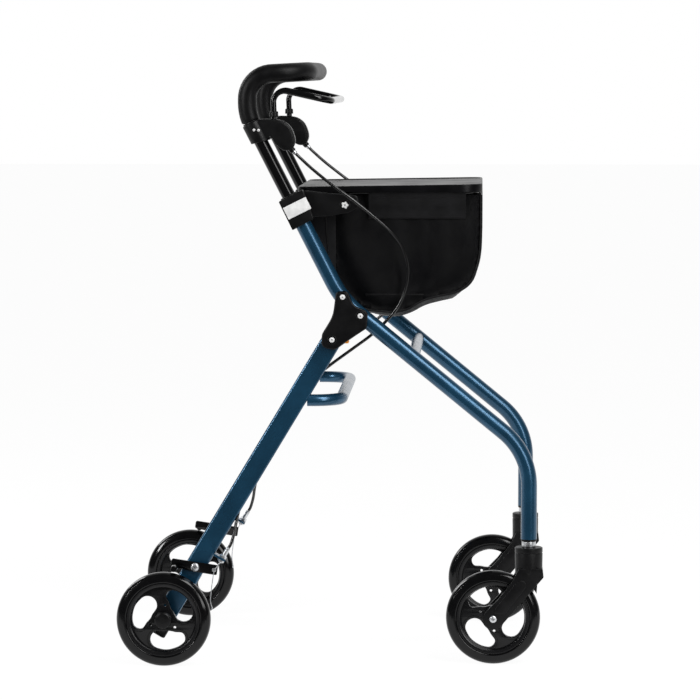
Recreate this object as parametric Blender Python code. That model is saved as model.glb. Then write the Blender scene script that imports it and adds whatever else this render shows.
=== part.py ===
"""An indoor walker: a bent-tube frame on four wheels, with a height-adjustable U handle, a U brake lever,
a tray, a bag and rear legs that fold forward.

X points forward, Y to the walker's left and Z up. The origin is on the floor, in the middle of the length.
"""

import math

import bmesh
import bpy
from mathutils import Matrix, Quaternion, Vector

# Clearances
GAP = 0.0003  # between pieces that touch
BOLT_PLAY = 0.0005  # between a bolt and its hole, on the radius

# Wheels
WHEEL_D = 0.150
TYRE_W = 0.026
TYRE_DEPTH = 0.019
RIM_W = 0.022
WEB_W = 0.008
HUB_W = 0.030
HUB_R = 0.014
RIM_RING = 0.0045
AXLE_R = 0.004
WHEEL_SIDES = 28
RING_MARGIN = 0.0018  # between the web's egg-shaped holes and the ring under the tyre
HUB_MARGIN = 0.0047  # between the holes and the hub
BIG_END_TURN = math.radians(-20)
SMALL_END_TURN = math.radians(28.5)
SMALL_END_SHARE = 0.743  # the small end's size, to the big end's
REAR_HOLE_TURN = {"right": math.radians(38.6), "left": math.radians(104)}
FRONT_HOLE_TURN = {"right": math.radians(109.6), "left": math.radians(100)}

# Layout
WHEELBASE = 0.522
FRAME_SPACING = 0.420
WHEEL_SPACER = 0.0143  # between the rear leg and the hub
CASTER_TRAIL = 0.0564

# Caster
HOUSING_D = 0.044
HOUSING_H = 0.042
HOUSING_CLEARANCE = 0.004  # over the tyre, at the housing's back
WHEEL_CLEARANCE = 0.0045
NOTCH_H = 0.0174
NOTCH_DEPTH = 0.0056
HUB_SIDE_PLAY = 0.0004
BLADE = 0.006
BOSS_R = 0.017
STEM_GAP = 0.009
STEM_COLLAR_R = 0.0112
SPINDLE_R = 0.005
SPINDLE_DEPTH = 0.020
STEM_PLUG = 0.030

# Side tubes
TUBE_D = 0.0254
TUBE_WALL = 0.0012
TUBE_SIDES = 14
LOWER_RISE = 0.141
SLOPE = math.radians(39.25)
RUN = 0.297
MAST_ANGLE = math.radians(62.9)
FRONT_BEND_R = 0.110
KNEE_BEND_R = 0.150
TUBE_TOP = 0.178  # from the knee corner, along the mast
CROSS_TUBE_D = 0.019
CROSS_TUBE_WALL = 0.0015
CROSS_TUBE_AT = 0.146  # from the knee corner, down the slope

# Knee bracket
PLATE_T = 0.006
KNEE_BOLT_R = 0.003
KNEE_HEAD_R = 0.0050
UPPER_BOLT_UP = 0.0040  # from the knee corner, along the mast
UPPER_BOLT_OUT = 0.0040  # and in front of it
MIDDLE_BOLT_AT = 0.0385
PIVOT_BACK = 0.0151
PIVOT_DROP = 0.0624
BUTTON_W = 0.006
BUTTON_H = 0.0135

# Rear legs
LEG_DEPTH = 0.032
LEG_W = 0.020
LEG_WALL = 0.0015
LEG_CORNER = 0.004
LEG_TOP = 0.010
LEG_TAIL = 0.033
BRIDGE_DROP = 0.1138  # the U tube, from the leg's pivot down the leg
BRIDGE_REACH = 0.072
BRIDGE_BEND_R = 0.045
TAB_AT = 0.127
TAB_T = 0.003
TAB_REACH = 0.020
AXLE_CAP_R = 0.0132
AXLE_CAP_H = 0.005

# Brake
BRAKE_PIVOT_AT = 0.0935
ARM_T = 0.004
ARM_H = 0.016
ARM_BACK = 0.0385
ARM_FRONT = 0.036
ARM_TILT = math.radians(-8.5)
SHOE_R = 0.005
SHOE_BACK = 0.031
SHOE_GAP = 0.0034
ADJUSTER_OUT = 0.014  # its axis, in front of the leg's face
ADJUSTER_R = 0.0038
ADJUSTER_UP = 0.020
ADJUSTER_DOWN = 0.0095

# Handle
POST_R = 0.0109
POST_WALL = 0.0015
POST_SIDES = 12
POST_BOTTOM = 0.103  # along the mast, from the knee corner
HANDLE_BACK = 0.1495
HANDLE_TOP = 0.3548
HANDLE_REACH = 0.094
HANDLE_RISE = math.radians(3.2)
POST_BEND_R = 0.078
TOP_BEND_R = 0.040
PLAN_BEND_R = 0.050
GRIP_R = 0.01475
GRIP_START = 0.2127  # from the post's bottom, along the tube

# Brake housings and lever
CLAMP_AT = 0.2855
CLAMP_H = 0.028
CLAMP_R = 0.0155
HOUSING_W = 0.024
LEVER_R = 0.0045
LEVER_BEND_R = 0.018
LEVER_PLAN_R = 0.030
LEVER_RISE = 0.0615
LEVER_REACH = 0.089
LEVER_DROP = 0.0205
PIN_R = 0.0025
SLOT_PLAY = 0.0012
OUTLET = 0.018  # the stub that the cable comes out of

# Collars and arms
COLLAR_BOTTOM = 0.1305
COLLAR_TOP = 0.1825
COLLAR_BACK = 0.0196
COLLAR_FRONT = 0.0200
COLLAR_W = 0.035
ARM_PLATE_T = 0.010
ARM_SCREW_R = 0.003
ARM_SCREW_UP = 0.1313  # along the mast from the knee corner
ARM_SCREW_OUT = 0.0728  # in front of the mast

# Tray, bag frame and bag
TRAY_FORE = 0.2168  # from the arm's screw to the tray's front edge
TRAY_AFT = 0.0765  # and to its back edge
TRAY_INSET = 0.0165  # from the side tube's middle to the tray's side
TRAY_ABOVE = 0.02825  # the tray's top, over the arm's screw
TRAY_SKIRT = 0.009
TRAY_WALL = 0.003
TRAY_RIM = 0.002
TRAY_CORNER = 0.035
TRAY_BACK_CORNER = 0.022
WIRE_R = 0.0035
BAG_GAP = 0.016  # between the knee bracket and the bag
BAG_WALL = 0.003

# Cables
CABLE_R = 0.0025
CABLE_STEP = 0.018

# Worked out from the sizes above
WHEEL_R = WHEEL_D / 2
HOLE_EDGE_R = WHEEL_R - TYRE_DEPTH - RIM_RING - RING_MARGIN
HOLE_INNER_R = HUB_R + HUB_MARGIN + 0.0013
BIG_END_R = (HOLE_EDGE_R - 0.0014 - HUB_R - HUB_MARGIN) / 2
BIG_END_AT = HUB_R + HUB_MARGIN + BIG_END_R
SMALL_END_R = BIG_END_R * SMALL_END_SHARE
SMALL_END_AT = HOLE_EDGE_R - SMALL_END_R - 0.0002
TUBE_R = TUBE_D / 2
HOUSING_R = HOUSING_D / 2
LENGTH = WHEEL_R + WHEELBASE + CASTER_TRAIL + HOUSING_R
HALF_FRAME = FRAME_SPACING / 2
REAR_AXLE = Vector((WHEEL_R - LENGTH / 2, 0, WHEEL_R))
FRONT_AXLE = REAR_AXLE + Vector((WHEELBASE, 0, 0))
STEM_X = FRONT_AXLE.x + CASTER_TRAIL
TYRE_TOP = WHEEL_R + math.sqrt(WHEEL_R**2 - (CASTER_TRAIL - HOUSING_R) ** 2)
HOUSING_BOTTOM = TYRE_TOP + HOUSING_CLEARANCE
HOUSING_TOP = HOUSING_BOTTOM + HOUSING_H
FOOT = Vector((STEM_X, 0, HOUSING_TOP + STEM_GAP))
LOWER_CORNER = FOOT + Vector((0, 0, LOWER_RISE))
KNEE = LOWER_CORNER + Vector((-RUN, 0, RUN * math.tan(SLOPE)))
MAST_UP = Vector((-math.cos(MAST_ANGLE), 0, math.sin(MAST_ANGLE)))
MAST_FRONT = Vector((math.sin(MAST_ANGLE), 0, math.cos(MAST_ANGLE)))
DOWN_SLOPE = Vector((math.cos(SLOPE), 0, -math.sin(SLOPE)))
LEG_PIVOT = KNEE - Vector((PIVOT_BACK, 0, PIVOT_DROP))
LEG_UP = (LEG_PIVOT - REAR_AXLE).normalized()
LEG_FRONT = Vector((LEG_UP.z, 0, -LEG_UP.x))
LEG_LENGTH = (LEG_PIVOT - REAR_AXLE).length
BRIDGE_AT = LEG_LENGTH - BRIDGE_DROP
HUB_HALF = HUB_W / 2
REAR_TRACK = FRAME_SPACING + LEG_W + HUB_W + 2 * (GAP + WHEEL_SPACER + HUB_SIDE_PLAY)
HALF_TRACK = REAR_TRACK / 2
PLATE_OUT = TUBE_R + GAP  # the knee plates' inner faces, from the side tube's middle
BAG_HALF_W = HALF_FRAME - PLATE_OUT - PLATE_T - BAG_GAP
POST_BORE = POST_R + GAP / math.cos(math.pi / POST_SIDES)
ARM_Y = LEG_W / 2 + 0.0045 + ARM_T / 2
SIDES = {"right": -1, "left": 1}
Y = Vector((0, 1, 0))
Z = Vector((0, 0, 1))


def mast(up, front=0.0):
    """A point of the side view: up the mast from the knee corner, and in front of it."""
    return KNEE + MAST_UP * up + MAST_FRONT * front


def leg(up, front=0.0):
    """A point of the side view: up the rear leg from the axle, and in front of its centre line."""
    return REAR_AXLE + LEG_UP * up + LEG_FRONT * front


def across(point, y):
    """The same point of the side view, at another distance from the middle."""
    return Vector((point.x, y, point.z))


# Scene, materials and joints
for old in list(bpy.data.objects):
    bpy.data.objects.remove(old, do_unlink=True)


def finish(name, colour, metallic, roughness):
    """A plain finish. The colour is red, green and blue."""
    material = bpy.data.materials.new(name)
    material.use_nodes = True
    shader = material.node_tree.nodes["Principled BSDF"]
    shader.inputs["Base Color"].default_value = (*colour, 1)
    shader.inputs["Metallic"].default_value = metallic
    shader.inputs["Roughness"].default_value = roughness
    material.diffuse_color = (*colour, 1)
    return material


BLUE = finish("metallic_blue_paint", (0.03, 0.12, 0.22), 0.6, 0.25)
BLACK_PAINT = finish("black_painted_tube", (0.01, 0.01, 0.012), 0.3, 0.3)
BLACK_PLASTIC = finish("black_moulded_plastic", (0.012, 0.012, 0.013), 0.0, 0.45)
RIM_PLASTIC = finish("black_wheel_plastic", (0.015, 0.015, 0.016), 0.0, 0.35)
TYRE = finish("black_tyre", (0.01, 0.01, 0.01), 0.0, 0.4)
FOAM = finish("black_foam", (0.012, 0.012, 0.013), 0.0, 0.7)
STEEL = finish("zinc_plated_steel", (0.7, 0.7, 0.72), 1.0, 0.3)
FABRIC = finish("black_nylon", (0.01, 0.01, 0.012), 0.0, 0.7)
CABLE = finish("black_cable_housing", (0.008, 0.008, 0.009), 0.0, 0.35)
ORANGE = finish("orange_plastic", (0.9, 0.35, 0.02), 0.0, 0.45)


def empty(name, place, parent=None):
    """A joint: an empty on the joint's axis."""
    joint = bpy.data.objects.new("axis_" + name, None)
    bpy.context.collection.objects.link(joint)
    joint.empty_display_size = 0.03
    if parent:
        joint.parent = parent
        joint.matrix_parent_inverse = parent.matrix_world.inverted()
    joint.matrix_world = Matrix.Translation(place)
    bpy.context.view_layer.update()
    return joint


def add(name, mesh, material, joint=None):
    """A finished piece, smooth where it is round, on its joint."""
    piece = bpy.data.objects.new(name, mesh)
    bpy.context.collection.objects.link(piece)
    mesh.materials.clear()
    mesh.materials.append(material)
    mesh.shade_smooth()
    mesh.set_sharp_from_angle(angle=math.radians(35))
    if joint:
        piece.parent = joint
        piece.matrix_parent_inverse = joint.matrix_world.inverted()
    return piece


def finished_mesh(bm, name):
    """The mesh of a bmesh, closed and facing out."""
    bmesh.ops.remove_doubles(bm, verts=bm.verts, dist=1e-7)
    bmesh.ops.recalc_face_normals(bm, faces=bm.faces)
    mesh = bpy.data.meshes.new(name)
    bm.to_mesh(mesh)
    bm.free()
    return mesh


# Shapes
def arc(centre, arm, axis, turn, step):
    """The points of an arm that turns about an axis."""
    count = max(2, math.ceil(abs(turn) / step))
    return [centre + Quaternion(axis, turn * i / count) @ arm for i in range(count + 1)]


def corner_arc(before, corner, after, radius, step):
    """A round bend in place of a corner."""
    a = (before - corner).normalized()
    b = (after - corner).normalized()
    turn = math.pi - a.angle(b)
    if radius == 0 or turn < 1e-4:
        return [corner]
    start = corner + a * radius * math.tan(turn / 2)
    centre = corner + (a + b).normalized() * radius / math.cos(turn / 2)
    return arc(centre, start - centre, (-a).cross(b).normalized(), turn, step)


def bent(corners, radii, step=math.radians(10)):
    """The centre line of a bent tube: straight runs, with a round bend at each inner corner."""
    points = [corners[0]]
    for i, radius in enumerate(radii):
        points += corner_arc(corners[i], corners[i + 1], corners[i + 2], radius, step)
    return points + [corners[-1]]


def rounded(corners, step=math.radians(30)):
    """A closed outline in the side view from (point, radius) corners."""
    points = []
    for i, (corner, radius) in enumerate(corners):
        before = corners[i - 1][0]
        after = corners[(i + 1) % len(corners)][0]
        points += corner_arc(before, corner, after, radius, step)
    return points


def circle(radius, sides):
    """A tube's section. Its flats lie inside the radius."""
    turns = [2 * math.pi * (i + 0.5) / sides for i in range(sides)]
    return [(radius * math.cos(t), radius * math.sin(t)) for t in turns]


def box_section(width, depth, corner):
    """A rounded rectangle: width across, depth in the side view."""
    points = []
    for sx, sz, start in ((1, 1, 0), (-1, 1, 90), (-1, -1, 180), (1, -1, 270)):
        for part in (0, 45, 90):
            angle = math.radians(start + part)
            x = sx * (width / 2 - corner) + corner * math.cos(angle)
            z = sz * (depth / 2 - corner) + corner * math.sin(angle)
            points.append((x, z))
    return points


def bridge(bm, one, two):
    """Faces between two closed loops of as many points."""
    for i in range(len(one)):
        j = (i + 1) % len(one)
        bm.faces.new((one[i], one[j], two[j], two[i]))


def sweep(path, section, bore=None, side=Y):
    """A section carried along a path, with its bore if it is a tube. Side is the section's first axis."""
    bm = bmesh.new()
    runs = [(b - a).normalized() for a, b in zip(path, path[1:])]
    walls = [[], []]
    for i, point in enumerate(path):
        ahead = (runs[max(i - 1, 0)] + runs[min(i, len(runs) - 1)]).normalized()
        side = (side - ahead * side.dot(ahead)).normalized()
        up = side.cross(ahead)
        for wall, shape in zip(walls, (section, bore)):
            if shape:
                wall.append([bm.verts.new(point + side * x + up * z) for x, z in shape])
    for wall in walls:
        for one, two in zip(wall, wall[1:]):
            bridge(bm, one, two)
    outer, inner = walls
    if inner:
        bridge(bm, outer[0], inner[0])
        bridge(bm, outer[-1], inner[-1])
    else:
        bm.faces.new(outer[0])
        bm.faces.new(outer[-1])
    return finished_mesh(bm, "sweep")


def turned(place, axis, profile, sides=16, ring=False):
    """A turned shape from (radius, height) points. A ring's profile closes on itself, off the axis."""
    bm = bmesh.new()
    turn = axis.to_track_quat("Z", "Y")
    rings = []
    for radius, height in profile:
        if radius == 0:
            rings.append([bm.verts.new(place + turn @ Vector((0, 0, height)))])
            continue
        rings.append([bm.verts.new(place + turn @ Vector((x, z, height))) for x, z in circle(radius, sides)])
    pairs = list(zip(rings, rings[1:]))
    if ring:
        pairs.append((rings[-1], rings[0]))
    for one, two in pairs:
        if len(one) == 1 or len(two) == 1:
            tip, rim = (one, two) if len(one) == 1 else (two, one)
            for i in range(sides):
                bm.faces.new((tip[0], rim[i], rim[(i + 1) % sides]))
        else:
            bridge(bm, one, two)
    return finished_mesh(bm, "turned")


def prism(outline, low, high):
    """An outline of the side view, from one distance from the middle to another."""
    bm = bmesh.new()
    near = [bm.verts.new(across(p, low)) for p in outline]
    far = [bm.verts.new(across(p, high)) for p in outline]
    bridge(bm, near, far)
    bm.faces.new(near)
    bm.faces.new(far)
    return finished_mesh(bm, "prism")


def boolean(piece, mesh, operation="DIFFERENCE"):
    """Cuts a shape from a piece, or joins it to it."""
    helper = bpy.data.objects.new("helper_" + piece.name, mesh)
    bpy.context.collection.objects.link(helper)
    helper.hide_render = True
    helper.display_type = "WIRE"
    if piece.parent:
        helper.parent = piece.parent
        helper.matrix_parent_inverse = piece.matrix_parent_inverse
    change = piece.modifiers.new(operation.title(), "BOOLEAN")
    change.operation = operation
    change.object = helper


def drill(piece, place, axis, radius, half_length, sides=12):
    """A round hole through a piece, on both sides of a place."""
    profile = [(0, -half_length), (radius, -half_length), (radius, half_length), (0, half_length)]
    boolean(piece, turned(place, axis, profile, sides))


def through_bolt(place, axis, half_length, shank_r, head_r, head_h, sides=8):
    """A bolt with a domed head at its far end and a nut at its near end."""
    end = half_length + head_h
    profile = [(0, -end), (head_r * 0.85, -end), (head_r * 0.85, -half_length), (shank_r, -half_length)]
    profile += [(shank_r, half_length), (head_r, half_length)]
    profile += [(head_r, half_length + head_h * 0.4), (head_r * 0.7, end), (0, end)]
    return turned(place, axis, profile, sides)


# Side tubes, cross tube and knee brackets
frame = empty("frame", (0, 0, 0))
leg_joint = empty("leg_fold", LEG_PIVOT, frame)

UPPER_BOLT = mast(UPPER_BOLT_UP, UPPER_BOLT_OUT)
MIDDLE_BOLT = KNEE + DOWN_SLOPE * MIDDLE_BOLT_AT
CROSS_TUBE = KNEE + DOWN_SLOPE * CROSS_TUBE_AT


def side_tube(name, sign):
    """The tube that runs from a caster up to the knee and the mast, and takes the post in its top."""
    corners = [across(p, sign * HALF_FRAME) for p in (FOOT, LOWER_CORNER, KNEE, mast(TUBE_TOP))]
    path = bent(corners, [FRONT_BEND_R, KNEE_BEND_R], math.radians(11))
    tube = sweep(path, circle(TUBE_R, TUBE_SIDES), circle(TUBE_R - TUBE_WALL, TUBE_SIDES))
    piece = add("side_tube_" + name, tube, BLUE, frame)
    for bolt in (UPPER_BOLT, MIDDLE_BOLT):
        drill(piece, across(bolt, sign * HALF_FRAME), Y, KNEE_BOLT_R + BOLT_PLAY, TUBE_D, 8)


def cross_tube():
    """The tube between the side tubes, under the bag."""
    reach = HALF_FRAME - TUBE_R - GAP
    path = [across(CROSS_TUBE, -reach), across(CROSS_TUBE, reach)]
    radius = CROSS_TUBE_D / 2
    tube = sweep(path, circle(radius, 12), circle(radius - CROSS_TUBE_WALL, 12), side=Z)
    add("front_cross_tube", tube, BLUE, frame)


def plate_outline():
    """The knee plate: a three-cornered shape round the bolts, with a hollow back edge."""
    return rounded(
        [
            (UPPER_BOLT + Vector((-0.0105, 0, 0.0090)), 0.008),
            (UPPER_BOLT + Vector((0.0080, 0, 0.0100)), 0.008),
            (MIDDLE_BOLT + Vector((-0.0110, 0, 0.0165)), 0.020),
            (MIDDLE_BOLT + Vector((0.0120, 0, 0.0070)), 0.009),
            (MIDDLE_BOLT + Vector((0.0105, 0, -0.0195)), 0.008),
            (LEG_PIVOT + Vector((0.0190, 0, -0.0055)), 0.010),
            (LEG_PIVOT + Vector((0.0050, 0, -0.0165)), 0.012),
            (LEG_PIVOT + Vector((-0.0170, 0, -0.0120)), 0.010),
            (LEG_PIVOT + Vector((-0.0160, 0, 0.0090)), 0.012),
            (LEG_PIVOT + Vector((0.0015, 0, 0.0380)), 0.050),
        ],
        math.radians(40),
    )


def knee_plates(name, sign):
    """Two moulded plates that hold the side tube and the rear leg between them."""
    middle = sign * HALF_FRAME
    for place, out in (("outer", sign), ("inner", -sign)):
        faces = sorted((middle + out * PLATE_OUT, middle + out * (PLATE_OUT + PLATE_T)))
        piece = add(f"knee_plate_{place}_{name}", prism(plate_outline(), *faces), BLACK_PLASTIC, frame)
        edge = piece.modifiers.new("Edge", "BEVEL")
        edge.width = 0.0015
        edge.segments = 1
        edge.limit_method = "ANGLE"
        edge.angle_limit = math.radians(60)
        seat = turned(
            across(LEG_PIVOT, middle),
            Y * out,
            [
                (0, LEG_W / 2 + GAP),
                (0.009, LEG_W / 2 + GAP),
                (0.009, PLATE_OUT + PLATE_T / 2),
                (0, PLATE_OUT + PLATE_T / 2),
            ],
            12,
        )
        boolean(piece, seat, "UNION")
        for bolt in (UPPER_BOLT, MIDDLE_BOLT, LEG_PIVOT):
            drill(piece, across(bolt, middle + out * PLATE_OUT), Y, KNEE_BOLT_R + BOLT_PLAY, 2 * PLATE_T, 8)


def knee_bolts(name, sign):
    """The through bolts of one knee bracket. The third is the fold pivot."""
    half = PLATE_OUT + PLATE_T + GAP
    for label, bolt in (("upper", UPPER_BOLT), ("middle", MIDDLE_BOLT), ("pivot", LEG_PIVOT)):
        place = across(bolt, sign * HALF_FRAME)
        shape = through_bolt(place, Y * sign, half, KNEE_BOLT_R, KNEE_HEAD_R, 0.0028)
        add(f"knee_bolt_{label}_{name}", shape, STEEL, frame)


def release_button(name, sign):
    """The sprung button in front of the leg's top that frees the fold."""
    low = LEG_PIVOT + Vector((0.0201, 0, -0.0060))
    corners = [(low, 0.001), (low + Vector((BUTTON_W, 0, 0)), 0.001)]
    corners += [(low + Vector((BUTTON_W, 0, BUTTON_H)), 0), (low + Vector((0, 0, BUTTON_H)), 0)]
    half = PLATE_OUT - GAP
    joint = empty("fold_release_" + name, across(low, sign * HALF_FRAME), frame)
    faces = sorted((sign * (HALF_FRAME - half), sign * (HALF_FRAME + half)))
    add("fold_release_button_" + name, prism(rounded(corners), *faces), ORANGE, joint)


# Rear leg frame
def leg_cable_route(sign):
    """The brake cable's lower length, from inside the side tube to the adjuster."""
    y = sign * HALF_FRAME
    adjuster_y = sign * (HALF_FRAME + ARM_Y)
    adjuster_front = LEG_DEPTH / 2 + ADJUSTER_OUT
    return [
        across(CABLE_SPLIT, sign * 0.1870),
        across(KNEE + Vector((0.0449, 0, -0.0582)), sign * 0.1890),
        across(KNEE + Vector((0.0160, 0, -0.0790)), sign * 0.1975),
        across(leg(0.4749, LEG_DEPTH / 2 + 0.0005), sign * 0.2065),
        across(leg(0.440, 0.004), y),
        across(leg(0.400, 0.001), y),
        across(leg(0.320, 0.000), y),
        across(leg(0.240, 0.003), y),
        across(leg(0.1957, LEG_DEPTH / 2 + 0.0005), sign * (HALF_FRAME + 0.004)),
        across(leg(TAB_AT + ADJUSTER_UP + 0.025, 0.0255), adjuster_y - sign * 0.003),
        across(leg(TAB_AT + ADJUSTER_UP + 0.008, adjuster_front), adjuster_y),
        across(leg(TAB_AT + ADJUSTER_UP + 3 * GAP, adjuster_front), adjuster_y),
    ]


CABLE_SPLIT = KNEE + Vector((0.0655, 0, -0.0395))


def spline(points, spacing):
    """Even steps along a smooth curve through the points."""
    fine = []
    ends = [2 * points[0] - points[1]] + points + [2 * points[-1] - points[-2]]
    for a, b, c, d in zip(ends, ends[1:], ends[2:], ends[3:]):
        for i in range(20):
            t = i / 20
            cubic = (-a + 3 * b - 3 * c + d) * t**3 + (2 * a - 5 * b + 4 * c - d) * t**2 + (c - a) * t + 2 * b
            fine.append(cubic / 2)
    fine.append(points[-1])
    lengths = [0.0]
    for a, b in zip(fine, fine[1:]):
        lengths.append(lengths[-1] + (b - a).length)
    count = round(lengths[-1] / spacing)
    even = []
    j = 0
    for i in range(count):
        target = lengths[-1] * i / count
        while lengths[j + 1] < target:
            j += 1
        part = (target - lengths[j]) / (lengths[j + 1] - lengths[j])
        even.append(fine[j].lerp(fine[j + 1], part))
    return even + [fine[-1]]


def rear_leg(name, sign):
    """A hollow leg with the adjuster's tab on its front, and holes for the bolts, the axle and the cable."""
    y = sign * HALF_FRAME
    path = [across(leg(-LEG_TAIL), y), across(leg(LEG_LENGTH + LEG_TOP), y)]
    inner = box_section(LEG_W - 2 * LEG_WALL, LEG_DEPTH - 2 * LEG_WALL, LEG_CORNER - LEG_WALL)
    outer = box_section(LEG_W, LEG_DEPTH, LEG_CORNER)
    piece = add("rear_leg_" + name, sweep(path, outer, inner), BLUE, leg_joint)
    face = LEG_DEPTH / 2
    tab = [leg(TAB_AT - TAB_T / 2, face - LEG_WALL / 2), leg(TAB_AT - TAB_T / 2, face + TAB_REACH)]
    tab += [leg(TAB_AT + TAB_T / 2, face + TAB_REACH), leg(TAB_AT + TAB_T / 2, face - LEG_WALL / 2)]
    ends = sorted((sign * (HALF_FRAME + 0.002), sign * (HALF_FRAME + ARM_Y + 0.007)))
    boolean(piece, prism(tab, *ends), "UNION")
    drill(piece, across(LEG_PIVOT, y), Y, KNEE_BOLT_R + BOLT_PLAY, LEG_W, 8)
    drill(piece, across(REAR_AXLE, y), Y, AXLE_R + BOLT_PLAY, LEG_W, 8)
    drill(piece, across(leg(BRAKE_PIVOT_AT), y), Y, KNEE_BOLT_R + BOLT_PLAY, LEG_W, 8)
    drill(piece, adjuster_place(sign), LEG_UP, ADJUSTER_R + BOLT_PLAY, 2 * TAB_T, 10)
    route = spline(leg_cable_route(sign), 0.006)
    for crossing in (0.4749, 0.1957):
        middle = min(range(len(route)), key=lambda i: (route[i] - across(leg(crossing, face), y)).length)
        boolean(piece, sweep(route[middle - 3 : middle + 4], circle(CABLE_R + 0.0015, 8)))


def adjuster_place(sign):
    return across(leg(TAB_AT, LEG_DEPTH / 2 + ADJUSTER_OUT), sign * (HALF_FRAME + ARM_Y))


def leg_bridge():
    """The U-shaped tube welded to the fronts of both legs."""
    radius = CROSS_TUBE_D / 2
    height = leg(BRIDGE_AT).z
    start = leg(BRIDGE_AT).x
    front = start + BRIDGE_REACH
    corners = [Vector((start, -HALF_FRAME, height)), Vector((front, -HALF_FRAME, height))]
    corners += [Vector((front, HALF_FRAME, height)), Vector((start, HALF_FRAME, height))]
    path = bent(corners, [BRIDGE_BEND_R, BRIDGE_BEND_R], math.radians(18))
    tube = sweep(path, circle(radius, 12), circle(radius - CROSS_TUBE_WALL, 12))
    piece = add("leg_bridge_tube", tube, BLUE, leg_joint)
    for sign in SIDES.values():
        y = sign * HALF_FRAME
        path = [across(leg(BRIDGE_AT - 0.06), y), across(leg(BRIDGE_AT + 0.06), y)]
        cope = box_section(LEG_W + 2 * GAP, LEG_DEPTH + 2 * GAP, LEG_CORNER)
        boolean(piece, sweep(path, cope))


def rear_axle(name, sign):
    """An axle with its nut inside the leg, the spacer beside the wheel and the black cap outside it."""
    leg_in = HALF_FRAME - LEG_W / 2 - GAP
    leg_out = HALF_FRAME + LEG_W / 2 + GAP
    hub_in = HALF_TRACK - HUB_HALF - HUB_SIDE_PLAY
    hub_out = HALF_TRACK + HUB_HALF + HUB_SIDE_PLAY
    profile = [(0, leg_in - 0.005), (0.0065, leg_in - 0.005), (0.0065, leg_in), (AXLE_R, leg_in)]
    profile += [(AXLE_R, leg_out), (0.008, leg_out), (0.008, hub_in), (AXLE_R, hub_in), (AXLE_R, hub_out)]
    profile += [(AXLE_CAP_R, hub_out), (AXLE_CAP_R, hub_out + AXLE_CAP_H * 0.5)]
    profile += [(AXLE_CAP_R * 0.8, hub_out + AXLE_CAP_H), (0, hub_out + AXLE_CAP_H)]
    add("rear_axle_" + name, turned(REAR_AXLE, Y * sign, profile, 12), STEEL, leg_joint)


def adjuster(name, sign):
    """The barrel adjuster in its tab, with a locknut above and a collar below."""
    half = TAB_T / 2 + GAP
    profile = [(0, -ADJUSTER_DOWN), (0.0025, -ADJUSTER_DOWN), (0.0028, -half - 0.004)]
    profile += [(0.0055, -half - 0.004), (0.0055, -half), (ADJUSTER_R, -half)]
    profile += [(ADJUSTER_R, half), (0.0055, half), (0.0055, half + 0.005)]
    profile += [(ADJUSTER_R, half + 0.006), (ADJUSTER_R, ADJUSTER_UP), (0, ADJUSTER_UP)]
    add("cable_adjuster_" + name, turned(adjuster_place(sign), LEG_UP, profile, 8), STEEL, leg_joint)


def brake_arm(name, sign):
    """The pivoted bar whose shoe presses on the tyre when the cable pulls its front end up."""
    pivot = leg(BRAKE_PIVOT_AT)
    joint = empty("brake_arm_" + name, across(pivot, sign * HALF_FRAME), leg_joint)
    along = Vector((math.cos(ARM_TILT), 0, math.sin(ARM_TILT)))
    up = Vector((-along.z, 0, along.x))
    half = ARM_H / 2
    corners = [(pivot - along * ARM_BACK - up * half * 0.6, 0.003), (pivot - up * half, 0.01)]
    corners += [(pivot + along * ARM_FRONT + up * way * half, 0.002) for way in (-1, 1)]
    corners += [(pivot + up * half, 0.01), (pivot - along * ARM_BACK + up * half, 0.003)]
    inner = HALF_FRAME + ARM_Y - ARM_T / 2
    faces = sorted((sign * inner, sign * (inner + ARM_T)))
    piece = add("brake_arm_" + name, prism(rounded(corners), *faces), BLACK_PAINT, joint)
    shoe = shoe_centre()
    outer = HALF_TRACK + TYRE_W / 2
    profile = [(0, inner + ARM_T / 2), (SHOE_R, inner + ARM_T / 2), (SHOE_R, outer), (0, outer)]
    boolean(piece, turned(shoe, Y * sign, profile, 12), "UNION")
    drill(piece, across(pivot, sign * inner), Y, KNEE_BOLT_R + BOLT_PLAY, 2 * ARM_T)


def shoe_centre():
    """Above the tyre by the shoe's gap, a set distance behind the arm's pivot."""
    x = leg(BRAKE_PIVOT_AT).x - SHOE_BACK
    reach = WHEEL_R + SHOE_GAP + SHOE_R
    return Vector((x, 0, WHEEL_R + math.sqrt(reach**2 - (x - REAR_AXLE.x) ** 2)))


def brake_pivot(name, sign):
    """The bolt that the brake arm turns on, with a shoulder between the leg and the arm."""
    leg_in = HALF_FRAME - LEG_W / 2 - GAP
    leg_out = HALF_FRAME + LEG_W / 2 + GAP
    arm_in = HALF_FRAME + ARM_Y - ARM_T / 2 - GAP
    arm_out = HALF_FRAME + ARM_Y + ARM_T / 2 + GAP
    r = KNEE_BOLT_R
    profile = [(0, leg_in - 0.004), (0.0055, leg_in - 0.004), (0.0055, leg_in), (r, leg_in), (r, leg_out)]
    profile += [(0.006, leg_out), (0.006, arm_in), (r, arm_in), (r, arm_out), (0.007, arm_out)]
    profile += [(0.007, arm_out + 0.0015), (0.0045, arm_out + 0.0032), (0, arm_out + 0.0032)]
    add("brake_pivot_bolt_" + name, turned(leg(BRAKE_PIVOT_AT), Y * sign, profile, 8), STEEL, leg_joint)


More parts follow.
